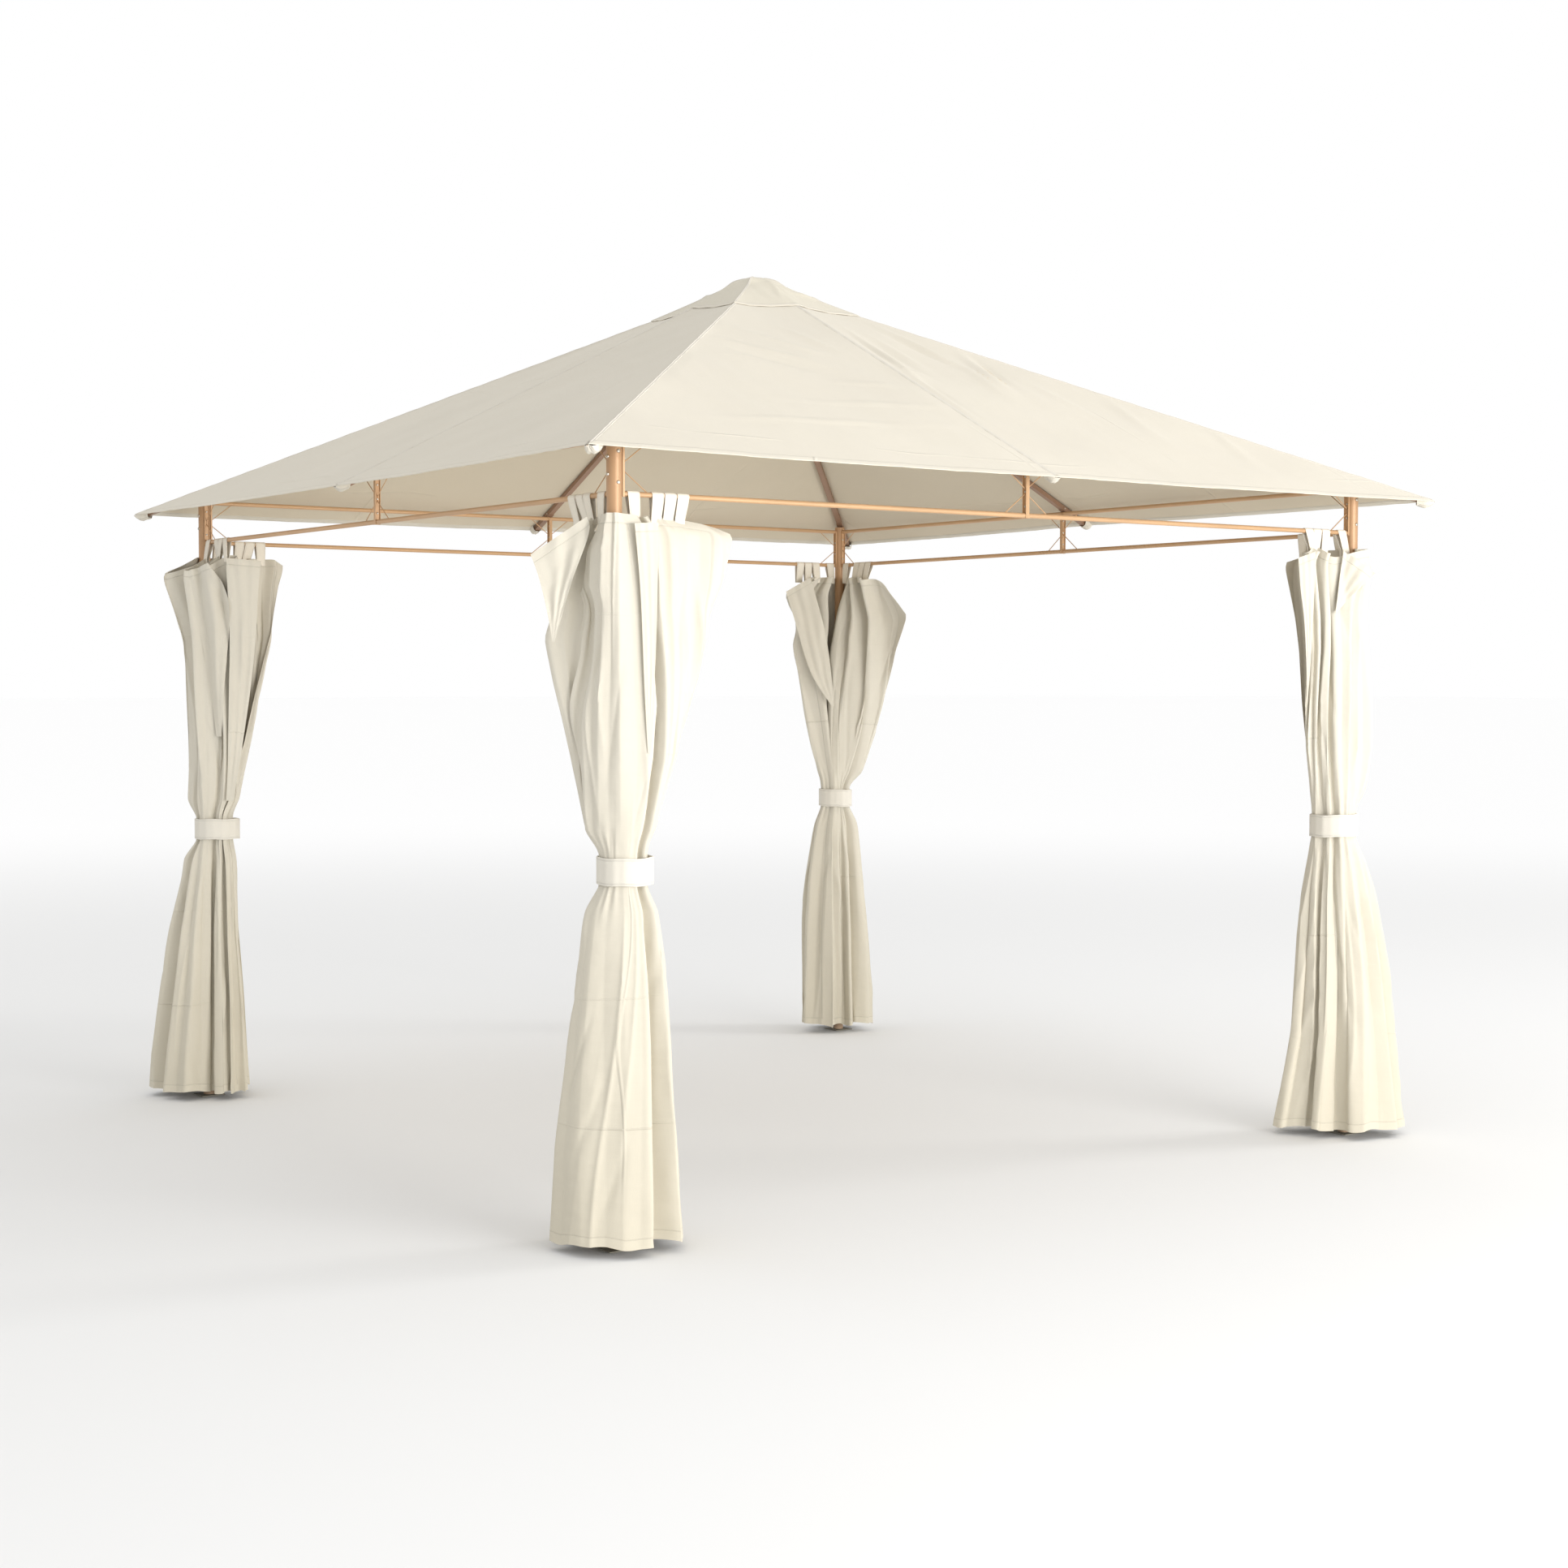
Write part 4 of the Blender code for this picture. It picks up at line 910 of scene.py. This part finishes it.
            (1.28, -0.137, 0.159), (1.10, -0.101, 0.108), (1.00, -0.076, 0.074), (0.86, -0.090, 0.064),
            (0.80, -0.103, 0.073), (0.62, -0.129, 0.090), (0.44, -0.144, 0.108), (0.20, -0.148, 0.125),
            (0.032, -0.151, 0.132),
        ),
    },
}


def fold_weights(count, share):
    """Weight of every fold point at each share of the cloth's width, by Mitchell's cubic.

    Within one step of a point it is (7 g^3 - 12 g^2 + 16/3) / 6, and up to two steps away
    (-7/3 g^3 + 12 g^2 - 20 g + 32/3) / 6; points mirrored past the two ends keep the ends in place.
    """
    gap = np.abs(share[:, None] * (count - 1) - np.arange(-1, count + 1))
    near = (7 * gap**3 - 12 * gap**2 + 16 / 3) / 6
    far = (-7 / 3 * gap**3 + 12 * gap**2 - 20 * gap + 32 / 3) / 6
    weights = np.where(gap < 1, near, np.where(gap < 2, far, 0))
    weights[:, 1:3] += weights[:, :1] * (2, -1)
    weights[:, -3:-1] += weights[:, -1:] * (-1, 2)
    return weights[:, 1:-1]


def edge_track(edges, height):
    """Reach of the curtain to the left and right of its post at each height, slightly rounded."""
    known = np.array(sorted(edges))
    near = (height - 0.012, height, height + 0.012)
    return [sum(np.interp(h, known[:, 0], known[:, side]) for h in near) / 3 for side in (1, 2)]


def curtain_surface(shape, signs, t, z):
    """The gathered cloth: a smooth curve through the fold points at every height.

    Under the rails the points lie as listed, in the tie they stand round the post on the band's
    circle, and at the lower hem on a wider one. Above the tie, point = tie + (top - tie) * s ** speed
    with s from 0 at the tie to 1 at the rails. The curve is then stretched to the edges seen.
    """
    folds = np.array(shape["folds"])
    top, droop, turn = folds[:, :2], folds[:, 2], np.radians(folds[:, 3:])
    weights = fold_weights(len(folds), t)
    phase, tie_z, centre = shape["phase"], shape["band_z"], np.array(shape["centre"])
    hem_z = z.min()
    order = np.linspace(1, -1, len(folds))
    inset = np.clip((top.min(axis=1) + 0.030) / 0.050, 0, 1) * (1 - order**6)
    speed = 1 + (shape["closing"] - 1) * order**4
    in_tie = shape["band_radius"] - 0.0030 - 0.028 * inset
    in_hem = 0.138 - 0.080 * inset
    for index, radius, rate in shape.get("tucks", ()):
        in_tie[index], speed[index] = radius, rate
    in_tie[-2:] -= 0.006
    in_hem[-2:] -= 0.012
    direction = np.cos(turn) * OUTWARD + np.sin(turn) * SIDEWAYS
    tie = centre + in_tie[:, None] * direction
    hem = centre * 0.5 + in_hem[:, None] * direction
    low, high = tie_z - BAND_HEIGHT / 2 - 0.004, tie_z + BAND_HEIGHT / 2 + 0.004
    above = np.clip((z - high) / (CURTAIN_TOP - high), 0, 1)[:, None, None]
    below = np.clip((low - z) / (low - hem_z), 0, 1)[:, None, None]
    points = tie + (top - tie) * above ** speed[:, None] + (hem - tie) * below**0.75
    for index, level, length, *inward in shape.get("swells", ()):
        points[:, index] += np.exp(-(((z - level) / length) ** 2))[:, None] * inward
    flat = np.einsum("tn,znk->ztk", weights, points)

    # Height of the cloth: its hem droops between the tabs and at the two free corners.
    top_share = np.clip((z - 1.10) / (CURTAIN_TOP - 1.10), 0, 1)[:, None]
    height = z[:, None] - (weights @ droop) * top_share**2
    wave = 0.004 * np.sin(2 * np.pi * t * 5 + phase) + 0.002 * np.sin(2 * np.pi * t * 13 + phase)
    height = height + wave * np.exp(-((z - hem_z) / 0.08))[:, None]

    # Edges as seen from the front, left free inside the tie.
    axis = ACROSS * -signs
    along = flat @ axis
    left, right = edge_track(shape["edges"], height)
    stretched = np.where(
        along < 0, along / along.min(axis=1, keepdims=True) * left,
        along / along.max(axis=1, keepdims=True) * right,
    )
    away = np.abs(z - tie_z)[:, None]
    free = np.clip((away - BAND_HEIGHT / 2) / 0.075, 0, 1)
    free = free * free * (3 - 2 * free)
    flat = flat + ((stretched - along) * free)[..., None] * axis

    # Relief: gathers that die away from the tie, slow billows, sharp and slanting creases, and
    # flutes, whose sine is flattened and peaked like cloth pinched in pleats.
    tangent = np.gradient(flat, axis=1)
    normal = unit(stacked(-tangent[..., 1], tangent[..., 0]))
    uneven = np.sin(2 * np.pi * t * 23 + 2.1 * np.sin(2 * np.pi * t * 4 + phase))
    uneven = uneven * (0.6 + 0.4 * np.sin(2 * np.pi * t * 7 + 2 * phase))
    gathers = 0.0024 * uneven * np.exp(-(((away - 0.06) / (0.09 + 0.05 * np.sin(9 * t + phase))) ** 2))
    billow = np.sin(5.1 * height + 14 * t + phase) * np.sin(2 * np.pi * t * 7 + 3.3 * height)
    billow = billow + 0.7 * np.sin(9.7 * height - 23 * t) * np.sin(2 * np.pi * t * 3 + 6.1 * height + phase)
    drift = 0.8 * np.sin(2.3 * height + phase) + 0.5 * np.sin(5.1 * height + 9 * t)
    sharp = (1 - np.abs(np.sin(np.pi * (21 * t + drift)))) ** 2
    sharp = sharp * np.clip(np.sin(3.7 * height + 31 * t + phase), 0, 1)
    slant = (1 - np.abs(np.sin(np.pi * (9 * t + 2.6 * height + 0.3 * drift)))) ** 3
    slant = slant * np.clip(np.sin(6.1 * height - 17 * t + 2 * phase), 0, 1)
    upper, lower = shape["flutes"]
    depth = np.where(z > tie_z, upper, lower)[:, None] * np.clip((away - 0.03) / 0.30, 0, 1) ** 0.8
    warped = t + 0.020 * np.sin(2 * np.pi * (3 * t + 0.35 * height) + phase)
    flute = np.sin(2 * np.pi * 13.5 * warped + phase)
    flute = 0.8 * np.sign(flute) * (1 - np.sqrt(np.clip(1 - np.abs(flute), 0, 1))) + 0.3 * flute
    slow = np.clip(away / 0.25, 0, 1) * (0.0018 * billow + 0.0060 * sharp - 0.0050 * slant)
    flat = flat + (gathers + depth * flute + slow)[..., None] * normal

    # Clear of the post, and never far out past it.
    far = np.maximum(np.linalg.norm(flat, axis=-1, keepdims=True), 1e-9)
    flat = np.maximum(flat * np.maximum(1, (POST_RADIUS + POST_GAP) / far), OUTERMOST)
    return np.concatenate([flat * -signs + signs * POST_AT, height[..., None]], axis=-1)


def arc_lengths(points):
    """Distance along each row of a grid from its first column."""
    steps = np.linalg.norm(np.diff(points, axis=1), axis=-1)
    return np.concatenate([np.zeros((len(points), 1)), np.cumsum(steps, axis=1)], axis=1)


hung = {}
for corner, shape in CURTAINS.items():
    sx, sy = CORNER_SIGNS[corner]
    hem_z, tie_z = shape["hem"], shape["band_z"]
    z = np.concatenate([
        np.linspace(hem_z, tie_z - 0.10, 42),
        np.linspace(tie_z - 0.09, tie_z + 0.09, 16),
        np.linspace(tie_z + 0.10, CURTAIN_TOP, 54),
    ])
    surface = curtain_surface(shape, np.array((sx, sy)), np.linspace(0, 1, 288), z)[::-1]
    run = arc_lengths(surface)
    width = float(run[:, -1].mean())
    u, v = run.mean(axis=0), CURTAIN_TOP - z[::-1, None]
    to_side, to_end = np.minimum(u, width - u) * 0.75, np.minimum(v, CURTAIN_TOP - hem_z - v)
    curtain = shell_piece(
        "curtain_cloth_" + corner, surface[:, ::-1] if sx == sy else surface, CURTAIN_THICK,
        [curtain_cloth], stacked(u, v), stacked(to_side, to_end),
    )
    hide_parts("curtain_" + corner)
    hung[corner] = curtain, surface, width, []

# Flaps. Broad turned-over folds of the same cloth lie over the gathers; each starts under the hem
# at the rails, stands out along its free edge and runs back into the folds above the tie.
FLAP_GRID = (44, 26)
ROLL_FROM = 0.86
SHARPNESS = 500.0


def flap_surface(cloth, post, first, second, rise, spread, phase):
    """A broad fold lying over the gathers, between two outlines seen from the front.

    Its depth is a soft maximum of the depth of the cloth near each place, log(mean(exp(k d))) / k,
    and it rises from its first outline to the second, where it rolls back to the cloth.
    """
    along, v = np.linspace(0, 1, FLAP_GRID[0]), np.linspace(0, 1, FLAP_GRID[1])[None, :]
    first, second = (fold_weights(len(line), along) @ np.array(line) for line in (first, second))
    along = along[:, None]
    roll = np.clip((v - ROLL_FROM) / (1 - ROLL_FROM), 0, 1)
    share = np.minimum(v / ROLL_FROM, 1) - 0.02 * roll
    place = first[:, None] * (1 - share[..., None]) + second[:, None] * share[..., None]
    near = cloth[::2, ::2].reshape(-1, 3)
    across, depth = (near[:, :2] - post) @ ACROSS, (near[:, :2] - post) @ TOWARD
    apart = ((place[..., :1] - across) / spread) ** 2 + ((place[..., 1:] - near[:, 2]) / 0.022) ** 2
    weight = np.exp(-np.minimum(apart, 60.0)) + 1e-26
    top = depth.max()
    mean = np.sum(weight * np.exp(SHARPNESS * (depth - top)), axis=-1) / weight.sum(axis=-1)
    hull = np.log(mean) / SHARPNESS + top
    wide = np.clip(np.linalg.norm(second - first, axis=1)[:, None] / 0.090, 0, 1)
    ending, inner = np.clip(4 * (1 - along), 0, 1), np.clip(share, 0, 1)
    raised = 0.0020 + rise * wide * (inner**1.3 * ending - roll**2)
    rill = 0.0024 * np.sin(2 * np.pi * (2.6 * share + 0.5 * along) + phase)
    rill = rill + 0.0014 * np.sin(2 * np.pi * (1.2 * share - 1.9 * along) + 2 * phase)
    raised = raised + rill * wide * np.sin(np.pi * inner) * ending
    flat = post + place[..., :1] * ACROSS + (hull + raised)[..., None] * TOWARD
    return np.concatenate([flat, place[..., 1:]], axis=-1)


for corner, (_, surface, _, flaps) in hung.items():
    post = np.array(CORNER_SIGNS[corner]) * POST_AT
    for number, (first, second, rise, spread) in enumerate(CURTAINS[corner]["flaps"]):
        phase = CURTAINS[corner]["phase"] + number
        fold = flap_surface(surface, post, first, second, rise, spread, phase)
        if second[0][0] < first[0][0]:
            fold = fold[:, ::-1]
        run = stacked(arc_lengths(fold), arc_lengths(fold.transpose(1, 0, 2)).T)
        flaps.append(shell_piece(
            f"curtain_fold_{corner}_{number + 1}", fold, CURTAIN_THICK, [curtain_cloth],
            run, run + (0.05, 0.003),
        ))

# Tabs. Four straps a side of every curtain go over the lower rail, both ends sewn to the hem where it passes
# below: the same weave, doubled, coloured paler than the curtains all over, painted light that lifts the tabs
# in shade.
RAIL_Z = 1.861
TAB_PLACES = (0.051, 0.122, 0.159, 0.196)
TAB_HALF = 0.0170
TAB_COLUMNS = 7
LOOP_RADIUS = 0.0073
# Painted light: the tabs' colour is paler than the curtain cloth, so those in shade still read bright.
paler_tabs = woven("tab_weave_painted_light", (0.820, 0.765, 0.660), 0.005, NO_CREASE, wrinkle=2.0)
bend = np.linspace(0, np.pi, 15)
leg = np.array([
    (LOOP_RADIUS * 0.35, CURTAIN_TOP - 0.022), (LOOP_RADIUS * 0.45, CURTAIN_TOP - 0.006),
    (LOOP_RADIUS * 0.95, RAIL_Z - 0.018),
])
arch = stacked(LOOP_RADIUS * np.cos(bend), RAIL_Z + LOOP_RADIUS * np.sin(bend))
strap = np.concatenate([leg, arch, leg[::-1] * (-1, 1)])
tangent = unit(np.gradient(strap, axis=0))
section = np.concatenate([strap, (strap + stacked(tangent[:, 1], -tangent[:, 0]) * CLOTH_THICK)[::-1]])
widths = np.linspace(-1, 1, TAB_COLUMNS) * TAB_HALF
up = np.broadcast_to(section[:, 1:], (len(section), TAB_COLUMNS))
sewn = np.clip((RAIL_Z - 0.004 - up) / (RAIL_Z - 0.004 - CURTAIN_TOP), 0, 1)
inner = np.arange(len(strap)) * TAB_COLUMNS
outer = (len(section) - 1) * TAB_COLUMNS - inner
cap = stacked(inner[:-1], inner[1:], outer[1:], outer[:-1])
strap_faces = grid_quads(len(section), TAB_COLUMNS, close_rows=True)
strap_faces = np.concatenate([strap_faces, cap, cap[:, ::-1] + TAB_COLUMNS - 1])
length_run = np.concatenate([np.arange(len(strap)), np.arange(len(strap))[::-1]])[:, None] * 0.004
strap_cloth = stacked(widths, length_run)
strap_seams = stacked(TAB_HALF - np.abs(widths) + 0.002, np.ones(up.shape))
for corner, (curtain, surface, width, flaps) in hung.items():
    sx, sy = CORNER_SIGNS[corner]
    shape = CURTAINS[corner]
    hem_line = POST_AT - surface[0, :, :2] * (sx, sy)
    points, quads = [], []
    for half in (0, 1):
        for number, spot in enumerate(TAB_PLACES):
            rail_point = np.array((0.0, spot) if half else (spot, 0.0))
            nearest = hem_line[np.argmin(np.linalg.norm(hem_line - rail_point, axis=1))]
            shift = np.clip((nearest - rail_point)[[half, 1 - half]], -0.012, 0.012)
            lean = 0.003 * math.sin(3.1 * number + shape["phase"] + half)
            along = spot + widths * (1 - 0.14 * sewn) + (lean + shift[0]) * sewn
            cross = shift[1] * sewn - section[:, :1]
            x, y = (cross, along) if half else (along, cross)
            faces = strap_faces[:, ::-1] if (sx == sy) == (half == 0) else strap_faces
            quads.append(faces + len(points) * up.size)
            points.append(stacked(sx * (POST_AT - x), sy * (POST_AT - y), up))
    curtain_tabs = add_piece(
        "curtain_tabs_" + corner, points, quads, [paler_tabs],
        [strap_cloth] * len(points), [strap_seams] * len(points),
    )

# Ties. A flat double strap of the curtains' weave goes round every bundle, a little crumpled and
# not quite level. Its profile is (distance out, share of the height), its edges folded in.
band_profile = np.array([
    (0.0000, -0.490), (0.0004, -0.500), (0.0020, -0.500), (0.0025, -0.488), (0.0026, -0.25),
    (0.0024, 0.0), (0.0026, 0.25), (0.0025, 0.488), (0.0020, 0.500), (0.0004, 0.500), (0.0000, 0.490),
])
band_cloth = woven("band_cloth_weave", (0.690, 0.655, 0.575), 0.005, NO_CREASE, wrinkle=2.0)
angle = np.linspace(0, 2 * np.pi, 120, endpoint=False)
tall = band_profile[:, 1:] * BAND_HEIGHT
for corner, shape in CURTAINS.items():
    inside = shape["band_radius"] + 0.0004
    phase = shape["phase"]
    crumple = 0.0005 * (1 + np.sin(angle * 9 + phase)) + 0.0004 * (1 + np.sin(angle * 17))
    tilt = 0.0016 * np.sin(angle + phase) + 0.0008 * np.sin(angle * 5)
    radius = inside + band_profile[:, :1] + crumple
    middle = (POST_AT - np.array(shape["centre"])) * CORNER_SIGNS[corner]
    up = shape["band_z"] + tall + tilt
    tie = add_piece(
        "curtain_band_" + corner,
        stacked(middle[0] + radius * np.cos(angle), middle[1] + radius * np.sin(angle), up),
        grid_quads(len(band_profile), angle.size, close_columns=True, close_rows=True), [band_cloth],
        stacked(angle * inside, tall),
        stacked(np.ones(angle.size), BAND_HEIGHT / 2 - np.abs(tall)),
    )
    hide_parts("curtain_tie_" + corner)
